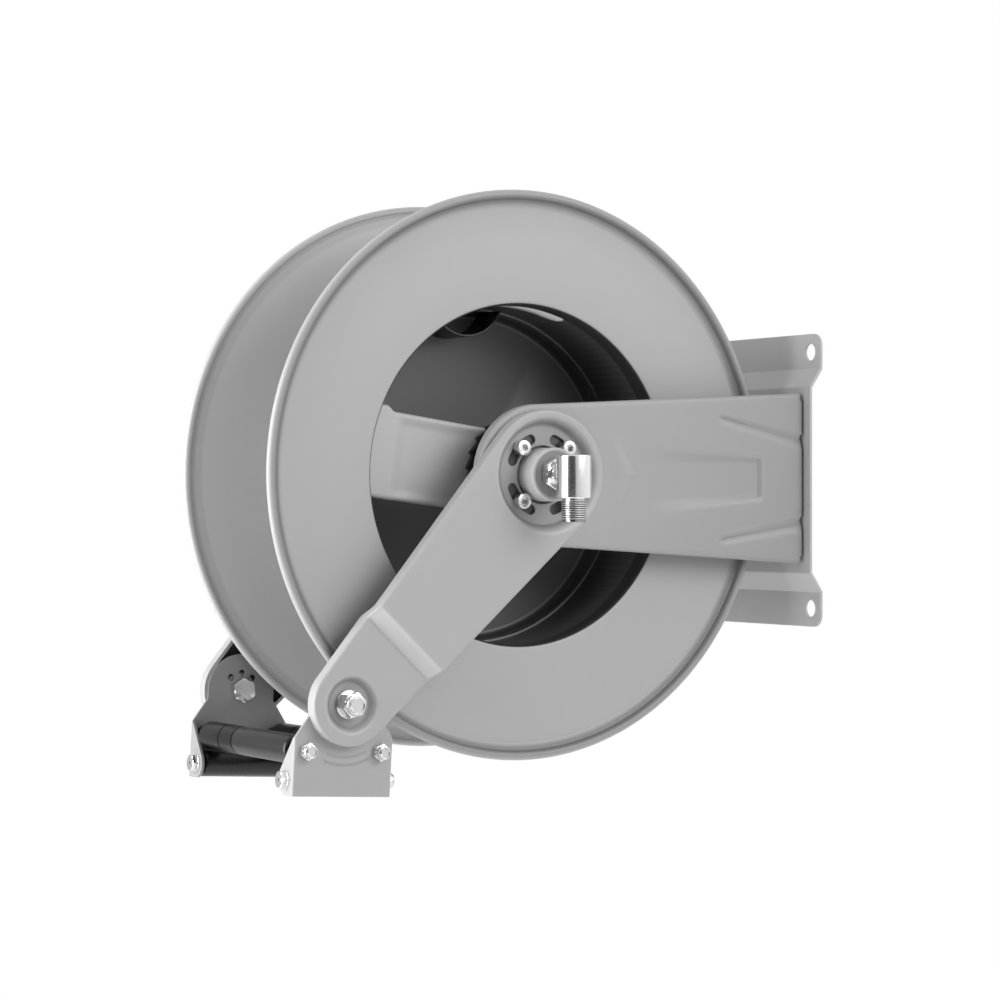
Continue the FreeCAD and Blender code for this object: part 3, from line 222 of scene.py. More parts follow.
def grained(name, shade, rough):
    # Tumbled and plated: a coarse sparkle over a soft shine, and painted shade in the valleys of the thread
    # of the stub.
    finish = Finish(name)
    coarse = finish.noise(1500.0, 1.0)
    cloud = finish.noise(60.0, 2.0)
    reach = finish.fromLine((threadPaintedShade["at"], axle.y, 0), (1, 1, 0))
    low = ((axle.z - threadPaintedShade["below"] - finish.along("Z")) / 0.0002).clamped()
    paintedFactor = 1 - low * (1 - ((reach - threadPaintedShade["root"]) / 0.0006).clamped()) * 0.6
    bright = finish.tint(cloud, grey(shade * 0.95), grey(shade * 1.03))
    finish.set(Metallic=1.0, Base_Color=finish.scaled(bright, paintedFactor))
    finish.set(Roughness=rough + 0.2 * (coarse - 0.5))
    finish.bump(coarse, 0.2, 0.0001)
    return finish.material


def moulded(name, shade, rough, shine=0.5, paintedShading=None):
    finish = Finish(name)
    grain = finish.noise(1500.0, 2.0)
    slow = finish.noise(14.0, 2.0)
    colour = finish.tint(slow, grey(shade * 0.8), grey(shade * 1.25))
    # Painted shade from the given mask.
    if paintedShading:
        colour = finish.scaled(colour, paintedShading(finish))
    finish.set(Base_Color=colour, Specular_IOR_Level=shine)
    finish.set(Roughness=rough + 0.12 * (slow - 0.5) + 0.08 * (grain - 0.5))
    finish.bump(grain, 0.12, 0.0002)
    return finish.material


# Painted light and shade by radius in metres, as factors on the coats' colour. The crease beside the rolled
# edge has the darkest painted shade.
paintedLightByRadius = {
    "rimOutside": [(0.224, 1.0), (0.2275, 0.9), (0.2295, 0.6), (0.2315, 0.4), (0.233, 0.45), (0.2350, 0.66),
                   (0.237, 0.78), (0.239, 1.0)],
    "rimInside": [(0.2235, 1.0), (0.226, 0.86), (0.232, 0.8), (0.2345, 0.9), (0.237, 1.0)],
    "insideDrum": [(0.1449, 0.09), (0.1453, 1.0)],
    "webEdge": [(0.1365, 1.0), (0.1373, 1.9), (0.1385, 1.2), (0.1395, 0.35), (0.1425, 0.3), (0.1434, 1.0),
                (0.1438, 2.4)],
    "boss": [(0.0185, 0.52), (0.0215, 1.1)],
    "washer": [(0.013, 1.0), (0.016, 0.03)],
    "groove": [(0.0415, 1.0), (0.0432, 0.8), (0.0448, 1.04), (0.0474, 1.02), (0.0492, 0.74), (0.0512, 1.0)],
    "hub": [(0.044, 0.25), (0.047, 1.06), (0.1, 1.0), (0.26, 0.84)],
}


def rimPaintedShade(finish):
    # Painted shade in the crease beside the rolled bead, outside and inside each flange, and deep painted
    # shade inside the drum core.
    reach = finish.fromAxle()
    outer = finish.ramp(reach, 0.22, 0.24, paintedLightByRadius["rimOutside"])
    inner = finish.ramp(reach, 0.22, 0.24, paintedLightByRadius["rimInside"])
    side = ((finish.acrossDrum() - 0.0775) / 0.001).clamped()
    return (side * outer + (1 - side) * inner) * finish.ramp(reach, 0.14, 0.15, paintedLightByRadius["insideDrum"])


def webPaintedLight(finish):
    # Painted highlight lines and a painted shaded ring at the folded edge of the web, in shares of its own
    # shade.
    return finish.ramp(finish.fromAxle(), 0.13, 0.15, paintedLightByRadius["webEdge"])


def bossPaintedLight(finish):
    # Darker on the face of the boss inside its rounded edge, with a painted highlight at that edge and on its
    # side.
    face = ((finish.acrossDrum() - 0.1322) / 0.0002).clamped()
    shade = finish.ramp(finish.fromAxle(), 0.01, 0.03, paintedLightByRadius["boss"])
    return face * shade + (1 - face) * 1.2


def washerPaintedShade(finish):
    # Painted shade on the washers outside the pivot bolt, so they look dark through the tilt holes.
    return finish.ramp(finish.fromLine(pivot), 0.01, 0.03, paintedLightByRadius["washer"])


def groovePaintedLight(finish):
    # Painted shade and highlight lines of a shallow curved groove under the arm's end on the outer face of
    # the near guide plate.
    reach = finish.fromLine(pivot)
    ring = finish.ramp(reach, 0.04, 0.053, paintedLightByRadius["groove"])
    turn = ((finish.along("Y") - pivot.y).absolute() / reach - 0.34) / 0.08
    above = (finish.along("Z") - pivot.z) / 0.01
    inner = (0.0985 - finish.along("X")) / 0.0005
    return ring.largest(turn.largest(above).largest(inner).clamped())


def hubPaintedLight(finish):
    # Painted shade on the arms behind the hub, where the kidney slots show them, with a faint painted
    # highlight round it, painted shade growing towards the plate, and deep painted shade in the cleft beside
    # the plate.
    radial = finish.ramp(finish.fromAxle(), 0.03, 0.28, paintedLightByRadius["hub"])
    cleft = ((axle.y + 0.2689 - finish.along("Y")) / 0.0004).clamped()
    return radial * (0.12 + 0.88 * cleft)


def flangePaintedLight(finish):
    # Painted light: the far flange is a little lighter inside than the near one.
    far = (finish.along("X") * -1000.0).clamped()
    return rimPaintedShade(finish) * (1 + 0.12 * far)


# One grey powder coat in lit and shaded copies: the bridge and the wall plate are painted lighter, and the
# support arms, the far guide plate, the web and the spring case painted darker, as painted light and shade.
# The hidden sides of the sheets get a near-black coat, a painted shade.
coats = {
    "outlet": ("grey_coat_outlet", 0.385, {"pressed": True}),
    "inside": ("dusty_coat_inside", 0.05, {"rough": 0.6}),
    "boss": ("grey_coat_boss", 0.40, {"paintedShading": bossPaintedLight}),
    "guideNear": ("grey_coat_guide", 0.37, {"paintedShading": groovePaintedLight}),
    "guideFar": ("grey_coat_guide_far", 0.27, {}),
    "drum": ("grey_coat_drum", 0.385, {"paintedShading": flangePaintedLight}),
    "bridge": ("grey_coat_bridge", 0.45, {"pressed": True}),
    "plate": ("grey_coat_plate", 0.43, {}),
    "support": ("grey_coat_support", 0.335, {"paintedShading": hubPaintedLight, "pressed": True}),
    "web": ("dark_coat_web", 0.17, {"rough": 0.5, "paintedShading": webPaintedLight}),
    "blackSteel": ("matte_black_steel", 0.004, {"rough": 0.85}),
}
materials = {
    "zinc": platedSteel("bright_zinc", 0.80, 0.24),
    "nickel": grained("bright_nickel", 0.9, 0.2),
    "turned": platedSteel("turned_steel", 0.55, 0.3, 0.12, (60, 1, 1)),
    "springSteel": platedSteel("oiled_spring_steel", 0.25, 0.38),
    "bronze": platedSteel("bearing_bronze", 0.5, 0.35),
    "roller": moulded("black_roller_plastic", 0.006, 0.3),
    "collar": moulded("black_roller_collar", 0.002, 0.32, 0.3),
    "sleeve": moulded("black_sleeve_plastic", 0.006, 0.28),
    "nylon": moulded("white_nylon", 0.6, 0.45, 0.15, washerPaintedShade),
    "rubber": moulded("seal_rubber", 0.02, 0.6),
}
for key, (name, shade, options) in coats.items():
    materials[key] = powderCoat(name, shade, **options)
print("materials made")


def meshObject(name, bm, material, sharp=32):
    mesh = bpy.data.meshes.new(name)
    bm.to_mesh(mesh)
    bm.free()
    mesh.materials.append(material)
    mesh.polygons.foreach_set("material_index", [0] * len(mesh.polygons))
    mesh.shade_smooth()
    mesh.set_sharp_from_angle(angle=math.radians(sharp))
    return linked(name, mesh)


def reshape(piece, bm, sharp=40):
    bm.to_mesh(piece.data)
    bm.free()
    piece.data.shade_smooth()
    piece.data.set_sharp_from_angle(angle=math.radians(sharp))


def meshOf(*pieces):
    bm = bmesh.new()
    for piece in pieces:
        bm.from_mesh(piece.data)
    return bm


def discard(*pieces):
    for piece in pieces:
        bpy.data.objects.remove(piece)


def finished(piece, sharp=None):
    # Turns the piece with its modifiers into a plain mesh.
    depsgraph = bpy.context.evaluated_depsgraph_get()
    mesh = bpy.data.meshes.new_from_object(piece.evaluated_get(depsgraph), depsgraph=depsgraph)
    old = piece.data
    piece.modifiers.clear()
    piece.data = mesh
    bpy.data.meshes.remove(old)
    if sharp is not None:
        mesh.set_sharp_from_angle(angle=math.radians(sharp))
    return piece


def carved(piece, tool):
    # Cuts the tool out of the piece.
    cut = piece.modifiers.new("cut", "BOOLEAN")
    cut.operation = "DIFFERENCE"
    cut.solver = "EXACT"
    cut.object = tool
    finished(piece, 40)
    discard(tool)


def settle(piece, body, node):
    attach(piece, body)
    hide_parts(node)


def fromNode(node, material, bevel):
    # A merged copy of a node's solid, with its edges rounded.
    bm = meshOf(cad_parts[node])
    bmesh.ops.remove_doubles(bm, verts=bm.verts, dist=2e-6)
    bmesh.ops.dissolve_limit(bm, angle_limit=math.radians(0.5), verts=bm.verts, edges=bm.edges)
    piece = meshObject(node + "_dressed", bm, material)
    edge = piece.modifiers.new("edge", "BEVEL")
    edge.width = bevel * mm
    edge.segments = 3
    edge.limit_method = "ANGLE"
    edge.angle_limit = math.radians(32)
    edge.use_clamp_overlap = True
    edge.harden_normals = True
    even = piece.modifiers.new("even", "WEIGHTED_NORMAL")
    even.keep_sharp = True
    return finished(piece)


def around(count):
    return [2 * math.pi * step / count for step in range(count)]


def skinned(bm, rings, closed):
    # Quads from ring to ring, but none on the axis, and back to the first ring or two flat ends.
    following = rings[1:] + rings[:1] if closed else rings[1:]
    for lower, upper in zip(rings, following):
        for index, low in enumerate(lower):
            after = (index + 1) % len(lower)
            if (low.co - upper[index].co).length > 1e-9 or (lower[after].co - upper[after].co).length > 1e-9:
                bm.faces.new([low, lower[after], upper[after], upper[index]])
    if not closed:
        bm.faces.new(rings[0][::-1])
        bm.faces.new(rings[-1])
    bmesh.ops.remove_doubles(bm, verts=bm.verts, dist=1e-7)
    bmesh.ops.dissolve_degenerate(bm, dist=1e-8, edges=bm.edges)
    bmesh.ops.recalc_face_normals(bm, faces=bm.faces)
    return bm


def turned(name, profile, material, steps=240, centre=axle, direction=Vector((1, 0, 0)), sharp=32):
    # A closed profile of (along, radius) pairs in millimetres, turned about a line through centre.
    side = direction.orthogonal().normalized()
    up = direction.cross(side)
    bm = bmesh.new()
    rings = []
    for angle in around(steps):
        out = side * math.cos(angle) + up * math.sin(angle)
        rings.append([bm.verts.new(centre + direction * along * mm + out * radius * mm)
                      for along, radius in profile])
    return meshObject(name, skinned(bm, rings, True), material, sharp)


def ringBody(rings, closed=False, bm=None):
    # A body about X, alone or added to another: each ring is (along, radii) in millimetres.
    bm = bm or bmesh.new()
    made = [[bm.verts.new((along * mm, radius * mm * math.cos(angle), radius * mm * math.sin(angle)))
             for radius, angle in zip(radii, around(len(radii)))] for along, radii in rings]
    return skinned(bm, made, closed)


def arcPoints(a, b, radius, start, end, steps):
    # Points of an arc in a plane, in degrees: 0 is along the first axis and 90 along the second.
    angles = [math.radians(start + (end - start) * step / steps) for step in range(steps + 1)]
    return [(a + radius * math.cos(angle), b + radius * math.sin(angle)) for angle in angles]


def smooth(value):
    value = min(max(value, 0.0), 1.0)
    return value * value * (3 - 2 * value)


# Drum flanges: a rolled bead, a crease, a soft shoulder down to the flat face and a rounded mouth.
flange = {"bead": 4.0, "beadAt": 82.0, "radius": 240.0, "face": 78.5, "sheet": 1.5, "mouth": 143.5,
          "mouthBend": 3.5, "collar": 18.0, "shoulder": 231.8, "shoulderWide": 6.5, "shoulderHigh": 3.4,
          "inside": 228.0, "between": [200.0, 175.0]}


def flangeProfile():
    # From the bead's inner end over its top to the crease, along the face to the mouth and back inside.
    f = flange
    face = f["face"]
    mouth = f["mouth"]
    bend = f["mouthBend"]
    profile = arcPoints(f["beadAt"], f["radius"] - f["bead"], f["bead"], 205, -62, 30)
    for step in range(9):
        out = face + f["shoulderHigh"] * smooth(1 - step / 8)
        profile.append((out, f["shoulder"] - f["shoulderWide"] * step / 8))
    profile += [(face, radius) for radius in f["between"]]
    profile += arcPoints(face - bend, mouth + bend, bend, 0, -90, 8)
    profile += [(face - f["collar"], mouth), (face - f["collar"], mouth + 1.5)]
    inner = face - f["sheet"]
    profile += [(inner - 3, mouth + 1.5), (inner - 0.8, mouth + 2.2), (inner, mouth + 5.0)]
    return profile + [(inner, radius) for radius in f["between"][::-1] + [f["inside"]]]


def drumFlanges():
    right = flangeProfile()
    left = [(-along, radius) for along, radius in reversed(right)]
    for side, profile in (("right", right), ("left", left)):
        piece = turned("flange_" + side, profile, materials["drum"], 360)
        settle(piece, "drum", "drum_flange_" + side)


drumFlanges()
print("flanges turned")


# Bolts and nuts are made once, about the origin with their seats at X = 0, and repeated by nodes.
def hexRadii(across, steps, limit=math.inf):
    # The radii of a hexagon, cut off by a circle.
    return [min(across / 2 / math.cos(angle % (math.pi / 3) - math.pi / 6), limit) for angle in around(steps)]


def socketHead(s):
    # A socket head with a knurled side, over a plain shank.
    steps = 48
    radius = s["radius"]
    high = s["high"]
    levels = [(-s["reach"], s["shank"] * 0.86), (-s["reach"] + 0.7, s["shank"]), (0, s["shank"]),
              (0, radius - 0.3), (0.4, radius), (high - 0.9, radius), (high - 0.3, radius - 0.25),
              (high, radius - 0.9), (high, s["socket"] * 0.62)]
    rings = []
    for along, size in levels:
        knurl = s["knurl"] if size == radius else 0
        rings.append((along, [size - knurl * (step % 2) for step in range(steps)]))
    rings += [(along, hexRadii(s["socket"], steps)) for along in (high, high - s["deep"])]
    return ringBody(rings)


def hexBody(across, high, bore, bevelLow=True, collar=0.0):
    # A hexagon with bevelled corners, a bore, and a round locking collar on top where wanted.
    steps = 60
    flat = across / 2
    corner = across / math.sqrt(3)
    drop = (corner - flat) * 0.55
    bevel = [(0, flat * 0.97), (drop * 0.5, (corner + flat) / 2), (drop, corner)]
    levels = (bevel if bevelLow else [(0, corner)]) + [(high - along, limit) for along, limit in bevel[::-1]]
    rings = [(along, hexRadii(across, steps, limit)) for along, limit in levels]
    top = high + collar
    rounds = []
    if collar:
        size = flat * 0.9
        rounds = [(high, size), (top - 0.9, size), (top - 0.25, size - 0.3), (top, size - 1.1),
                  (top, bore + 1.1), (top - 0.5, bore + 0.3)]
        top -= 0.5
    rounds += [(top, bore), (0, bore)]
    return ringBody(rings + [(along, [radius] * steps) for along, radius in rounds], True)


def roundBar(parts, bm=None):
    # A closed bar of (along, radius) points about X.
    return ringBody([(along, [radius] * 40) for along, radius in parts], False, bm)


def mirrored(bm, at):
    # Turned end for end, from a seat at X = 0 to one at a place in millimetres.
    for vert in bm.verts:
        vert.co.x = at * mm - vert.co.x
    bmesh.ops.reverse_faces(bm, faces=bm.faces)
    return bm


def repeatTree():
    # Instances of a template on points, each turned by the point's own attribute.
    group = bpy.data.node_groups.new("repeatOnPoints", "GeometryNodeTree")
    for name, way, kind in (("Geometry", "INPUT", "Geometry"), ("Template", "INPUT", "Object"),
                            ("Material", "INPUT", "Material"), ("Geometry", "OUTPUT", "Geometry")):
        group.interface.new_socket(name, in_out=way, socket_type="NodeSocket" + kind)
    graph = Graph(group)
    mesh, thing, paint = [graph.node("NodeGroupInput", {}, {}, name)
                          for name in ("Geometry", "Template", "Material")]
    points = graph.node("GeometryNodeMeshToPoints", {}, {"Mesh": mesh})
    template = graph.node("GeometryNodeObjectInfo", {}, {"Object": thing}, "Geometry")
    turn = graph.node("GeometryNodeInputNamedAttribute", {"data_type": "FLOAT_VECTOR"}, {"Name": "turn"})
    inputs = {"Points": points, "Instance": template, "Rotation": turn}
    copies = graph.node("GeometryNodeInstanceOnPoints", {}, inputs)
    real = graph.node("GeometryNodeRealizeInstances", {}, {"Geometry": copies})
    painted = graph.node("GeometryNodeSetMaterial", {}, {"Geometry": real, "Material": paint})
    graph.node("NodeGroupOutput", {}, {"Geometry": painted})
    return group


repeatOnPoints = repeatTree()


def repeated(name, bm, places, body, node):
    # A template at each place, a (point in metres, Euler turn) pair.
    material = materials["zinc"]
    template = meshObject(name + "_template", bm, material, 28)
    mesh = bpy.data.meshes.new(name)
    mesh.from_pydata([tuple(point) for point, turn in places], [], [])
    attribute = mesh.attributes.new("turn", "FLOAT_VECTOR", "POINT")
    for index, (point, turn) in enumerate(places):
        attribute.data[index].vector = tuple(turn)
    piece = linked(name, mesh)
    modifier = piece.modifiers.new("repeat", "NODES")
    modifier.node_group = repeatOnPoints
    inputs = {item.name: item.identifier for item in repeatOnPoints.interface.items_tree
              if item.in_out == "INPUT"}
    modifier[inputs["Template"]] = template
    modifier[inputs["Material"]] = material
    finished(piece)
    if "turn" in piece.data.attributes:
        piece.data.attributes.remove(piece.data.attributes["turn"])
    discard(template)
    settle(piece, body, node)


def faced(side, roll=0.0):
    # A turn about the template's own X first, then to the right (1) or to the left (-1).
    turn = Euler((0, 0, 0 if side > 0 else math.pi)).to_matrix()
    return (turn @ Matrix.Rotation(roll, 3, "X")).to_euler()


def guidePoint(x, u, w):
    # A point on the guide: x across, u along it and w up from the pivot, all in millimetres.
    along = Vector((0, math.cos(guideTilt), -math.sin(guideTilt)))
    up = Vector((0, math.sin(guideTilt), math.cos(guideTilt)))
    return pivot + Vector((x * mm, 0, 0)) + along * (u * mm) + up * (w * mm)


screws = {"circle": 31.1, "seat": 111.6, "radius": 6.5, "high": 8.0, "socket": 6.0, "deep": 4.2, "shank": 4.0,
          "reach": 16.0, "knurl": 0.16}


def clampScrews():
    places = []
    for side in (-1, 1):
        for index in range(4):
            angle = math.radians(45 + 90 * index)
            spot = Vector((side * screws["seat"], screws["circle"] * math.cos(angle),
                           screws["circle"] * math.sin(angle)))
            places.append((axle + spot * mm, faced(side, 0.35 + 0.5 * index)))
    repeated("clamp_screws_set", socketHead(screws), places, "frame", "clamp_screws")


clampScrews()

fasteners = {"pivotAcross": 19.0, "pivotHigh": 12.0, "pivotShank": 6.0, "pivotHead": 7.5, "rodAcross": 13.0,
             "rodHigh": 8.0, "rodShank": 4.0, "endFloor": 105.0, "washer": 2.5, "washerBore": 6.3,
             "washerOut": 12.0, "plateOut": 100.5, "plateIn": 98.0, "lugX": 86.5, "spread": 33.0,
             "drop": 38.6, "sideDrop": 62.5, "half": 44.5, "sideHead": 4.5, "sideSeat": 1.2}


def atPivot(x, roll=0.0):
    return [(pivot + Vector((side * x * mm, 0, 0)), faced(side, roll)) for side in (1, -1)]


def pivotFasteners():
    f = fasteners
    nutSeat = f["endFloor"] + f["washer"]
    nut = hexBody(f["pivotAcross"], f["pivotHigh"] * 0.76, f["pivotShank"], collar=f["pivotHigh"] * 0.24)
    repeated("pivot_nut_set", nut, atPivot(nutSeat, 0.2), "outlet_arms", "pivot_nuts")
    thick = f["washer"]
    bore = f["washerBore"]
    out = f["washerOut"]
    ring = roundBar([(0, bore), (0, out - 0.6), (0.5, out), (thick - 0.5, out), (thick, out - 0.6),
                     (thick, bore)])
    repeated("pivot_washer_set", ring, atPivot(f["endFloor"]), "outlet_arms", "pivot_washers")
    headTo = f["plateIn"] - 0.3
    reach = nutSeat + f["pivotHigh"] + 0.4
    bolt = mirrored(hexBody(f["pivotAcross"], f["pivotHead"], 2.0, bevelLow=False), headTo)
    shank = f["pivotShank"]
    neck = headTo - f["pivotHead"] + 0.2
    roundBar([(neck, shank - 1), (neck, shank), (reach - 1, shank), (reach, shank - 0.9)], bolt)
    repeated("pivot_bolt_set", bolt, atPivot(0, 0.45), "outlet_arms", "pivot_bolts")


def guideFasteners():
    f = fasteners
    spreads = (-f["spread"], f["spread"])
    half = f["half"]
    shank = f["rodShank"]

    def lockingNut():
        return hexBody(f["rodAcross"], f["rodHigh"] * 0.62, shank, collar=f["rodHigh"] * 0.38)

    places = [(guidePoint(side * f["plateOut"], u, -f["drop"]), faced(side, 0.3 + guideTilt))
              for side in (-1, 1) for u in spreads]
    repeated("rod_nut_set", lockingNut(), places, "guide", "rod_nuts")
    reach = f["plateOut"] + f["rodHigh"] + 0.8
    bar = roundBar([(-reach, shank - 0.7), (-reach + 0.7, shank), (reach - 0.7, shank), (reach, shank - 0.7)])
    places = [(guidePoint(0, u, -f["drop"]), faced(1)) for u in spreads]
    repeated("roller_rod_set", bar, places, "guide", "roller_rods")
    # Side bolts run along the guide, head at the front and nut at the back.
    tilted = Euler((-guideTilt, 0, 0)).to_matrix()
    backTurn = (tilted @ Euler((0, 0, math.pi / 2)).to_matrix()).to_euler()
    bolt = mirrored(hexBody(f["rodAcross"], f["sideHead"], 1.0), -half - f["sideSeat"])
    roundBar([(-half - f["sideSeat"], 7.0), (-half - 0.9, 7.5), (-half, 7.5), (-half, 3.0)], bolt)
    roundBar([(-half - 0.5, shank), (half + 8.1, shank), (half + 8.8, shank - 0.7)], bolt)
    for name, bm, u in (("bolt", bolt, 0), ("nut", lockingNut(), half)):
        places = [(guidePoint(side * f["lugX"], u, -f["sideDrop"]), backTurn) for side in (-1, 1)]
        repeated("side_" + name + "_set", bm, places, "guide", "side_" + name + "s")


pivotFasteners()
guideFasteners()
print("fasteners repeated")


# Pressed sheet: an outline with a folded rim, holes, and a height over its flat.
def arcLoop(a, b, radius, start, end, step=2.2):
    count = max(3, int(abs(math.radians(end - start)) * radius / step))
    return arcPoints(a, b, radius, start, end, count)


def partWay(first, second, share):
    return tuple(start + (end - start) * share for start, end in zip(first, second))


def withSteps(points, step):
    # Adds points on the long straight runs of a closed loop.
    full = []
    for index, first in enumerate(points):
        second = points[(index + 1) % len(points)]
        count = max(1, round(math.dist(first, second) / step))
        for part in range(count):
            full.append(partWay(first, second, part / count))
    cleaned = []
    for point in full:
        if not cleaned or math.dist(point, cleaned[-1]) > 1e-4:
            cleaned.append(point)
    if math.dist(cleaned[0], cleaned[-1]) < 1e-4:
        cleaned.pop()
    return cleaned


def insetLoop(loop, amount):
    moved = []
    count = len(loop)
    for index in range(count):
        before = loop[index - 1]
        after = loop[(index + 1) % count]
        here = loop[index]
        first = Vector((here[0] - before[0], here[1] - before[1])).normalized()
        second = Vector((after[0] - here[0], after[1] - here[1])).normalized()
        normal = Vector((-first.y - second.y, first.x + second.x))
        normal.normalize()
        stretch = 1 / max(normal.dot(Vector((-first.y, first.x))), 0.5)
        moved.append((here[0] + normal.x * amount * stretch, here[1] + normal.y * amount * stretch))
    return moved


def crossings(loops, b):
    found = []
    for loop in loops:
        for index, first in enumerate(loop):
            second = loop[(index + 1) % len(loop)]
            if (first[1] > b) != (second[1] > b):
                found.append(first[0] + (b - first[1]) * (second[0] - first[0]) / (second[1] - first[1]))
    return sorted(found)


def isInside(loops, a, b):
    return sum(1 for cross in crossings(loops, b) if cross > a) % 2 == 1


def pointTree(points):
    tree = kdtree.KDTree(len(points))
    for index, point in enumerate(points):
        tree.insert((*point, 0), index)
    tree.balance()
    return tree


def fillPoints(loops, details, spacing):
    # The loops, the details that lie inside them, and rows of points clear of both.
    edge = [point for loop in loops for point in loop]
    inside = [point for point in details if isInside(loops, *point)]
    nearEdge = pointTree(edge)
    nearAny = pointTree(edge + inside)
    points = edge + [point for point in inside if nearEdge.find((*point, 0))[2] > 0.5]
    top = max(point[1] for point in loops[0])
    b = min(point[1] for point in loops[0]) + spacing * 0.5
    shift = 0.75
    while b < top:
        cross = crossings(loops, b)
        for left, right in zip(cross[::2], cross[1::2]):
            for index in range(int((right - left) / spacing) + 1):
                a = left + spacing * (index + shift)
                if a < right - spacing * 0.3 and nearAny.find((a, b, 0))[2] > spacing * 0.62:
                    points.append((a, b))
        b += spacing * 0.87
        shift = 1 - shift
    return points


# Painted shade and highlight along a bend in the coat's colour: a painted highlight on an outer bend, painted
# shade in an inner one.
bendLook = {"reach": 1.6, "gain": 0.55, "light": -0.12, "dark": 0.24}


def bendShade(height, a, b):
    reach = bendLook["reach"]
    beside = sum(height(a + reach * math.cos(turn), b + reach * math.sin(turn)) for turn in around(8)) / 8
    return max(bendLook["light"], min(bendLook["dark"], (beside - height(a, b)) * bendLook["gain"]))


def pressedSheet(name, outline, holes, height, place, sheet, details, material, flip=False, paintedLightAt=None):
    # The optional function gives painted light and shade of its own to places on the sheet.
    rim = sheet["rim"]
    lip = sheet["lip"]
    edge = withSteps(outline, sheet["spacing"])
    inner = insetLoop(edge, rim)
    loops = [inner] + [withSteps(hole, sheet["spacing"] * 0.6) for hole in holes]
    edges = []
    start = 0
    for loop in loops:
        edges += [(start + index, start + (index + 1) % len(loop)) for index in range(len(loop))]
        start += len(loop)
    points = [Vector(point) for point in fillPoints(loops, details, sheet["spacing"])]
    made = geometry.delaunay_2d_cdt(points, edges, [], 0, 1e-6)
    flat, faces, origins = made[0], made[2], made[3]
    placed = {source: index for index, sources in enumerate(origins) for source in sources}
    bm = bmesh.new()
    bends = bm.verts.layers.float.new("bend")
    verts = []
    for a, b in flat:
        vert = bm.verts.new(place(a, b, height(a, b)))
        # Painted shade and highlight for the coat: from the bends, and from the sheet's own painted light and
        # shade.
        vert[bends] = bendShade(height, a, b) - (paintedLightAt(a, b) if paintedLightAt else 0.0)
        verts.append(vert)
    for face in faces:
        corners = [flat[index] for index in face]
        area = (corners[1] - corners[0]).cross(corners[2] - corners[0])
        if abs(area) > 0.02 and isInside(loops, *(sum(corners, Vector((0, 0))) / len(face))):
            bm.faces.new([verts[index] for index in face])
    # The fold drops from the height of the flat beside it, round a quarter and then straight.
    quarter = [math.pi / 2 * step / 4 for step in range(1, 5)]
    drops = [(rim * (1 - math.sin(angle)), rim * (1 - math.cos(angle))) for angle in quarter]
    ring = [verts[placed[index]] for index in range(len(inner))]
    for inset, drop in drops + [(0.0, (rim + lip) / 2), (0.0, lip)]:
        loop = insetLoop(edge, inset) if inset else edge
        row = [bm.verts.new(place(*point, height(*beside) - drop)) for point, beside in zip(loop, inner)]
        for index in range(len(ring)):
            after = (index + 1) % len(ring)
            bm.faces.new([ring[index], row[index], row[after], ring[after]])
        ring = row
    for vert in [vert for vert in bm.verts if not vert.link_faces]:
        bm.verts.remove(vert)
    if flip:
        bmesh.ops.reverse_faces(bm, faces=bm.faces)
    piece = meshObject(name, bm, material, 40)
    # The hidden side of the sheet gets a near-black coat, a painted shade.
    piece.data.materials.append(materials["inside"])
    wall = piece.modifiers.new("wall", "SOLIDIFY")
    wall.material_offset = 1
    wall.thickness = sheet["thick"] * mm
    return finished(piece, 40)


def bent(share, blend=0.1):
    # 0 to 1 along a straight slope, with short bends at its two ends.
    if share <= -blend:
        return 0.0
    if share < blend:
        return (share + blend) ** 2 / (4 * blend)
    if share <= 1 - blend:
        return share
    if share < 1 + blend:
        return 1 - (1 + blend - share) ** 2 / (4 * blend)
    return 1.0


def ringPoints(a, b, radii, step=2.4):
    counts = [max(12, int(2 * math.pi * radius / step)) for radius in radii]
    return [point for radius, count in zip(radii, counts)
            for point in arcPoints(a, b, radius, 0, 360, count)[:-1]]


# Outlet arm: (along, across) in millimetres from the axle, its height measured from the upper face.
outlet = {"face": 121.0, "fall": 10.0, "start": 185.5, "run": 11.0, "hub": 54.0, "end": 34.0,
          "length": armLength / mm, "dishTop": 51.0, "dishFloor": 41.5, "dishDeep": 9.7, "clear": 24.5,
          "endTop": 24.0, "endFloor": 17.5, "endDeep": 6.2, "endHole": 6.0, "slotCircle": 31.1,
          "slotHalf": 4.5, "slotTurn": 23.5, "lip": 11.5, "rim": 2.2, "thick": 2.9, "spacing": 2.6}
# Where the mesh is finer: circles around both dishes, and shares of the bend's run.
outletDetail = {"hub": [51.5, 50.0, 48.5, 47.3, 46.1, 44.9, 43.7, 42.5, 41.3, 39.5],
                "end": [25.0, 23.6, 22.5, 21.4, 20.3, 19.2, 18.1, 16.8, 15.0, 12.0, 9.0],
                "bend": [-0.16, -0.1, -0.03, 0.04, 0.1, 0.35, 0.65, 0.9, 0.96, 1.03, 1.1, 1.16]}


def outletHeight(a, b):
    o = outlet
    level = -o["fall"] * bent((a - o["start"]) / o["run"])
    hubR = math.hypot(a, b)
    if hubR < o["dishTop"]:
        level -= o["dishDeep"] * smooth(((o["dishTop"] - hubR) / (o["dishTop"] - o["dishFloor"])) ** 1.6)
    endR = math.hypot(a - o["length"], b)
    if endR < o["endTop"]:
        level -= o["endDeep"] * smooth((o["endTop"] - endR) / (o["endTop"] - o["endFloor"]))
    return level


def tangentOutline(startR, endR, length):
    lean = math.degrees(math.acos((startR - endR) / length))
    return arcLoop(0, 0, startR, lean, 360 - lean) + arcLoop(length, 0, endR, -lean, lean)


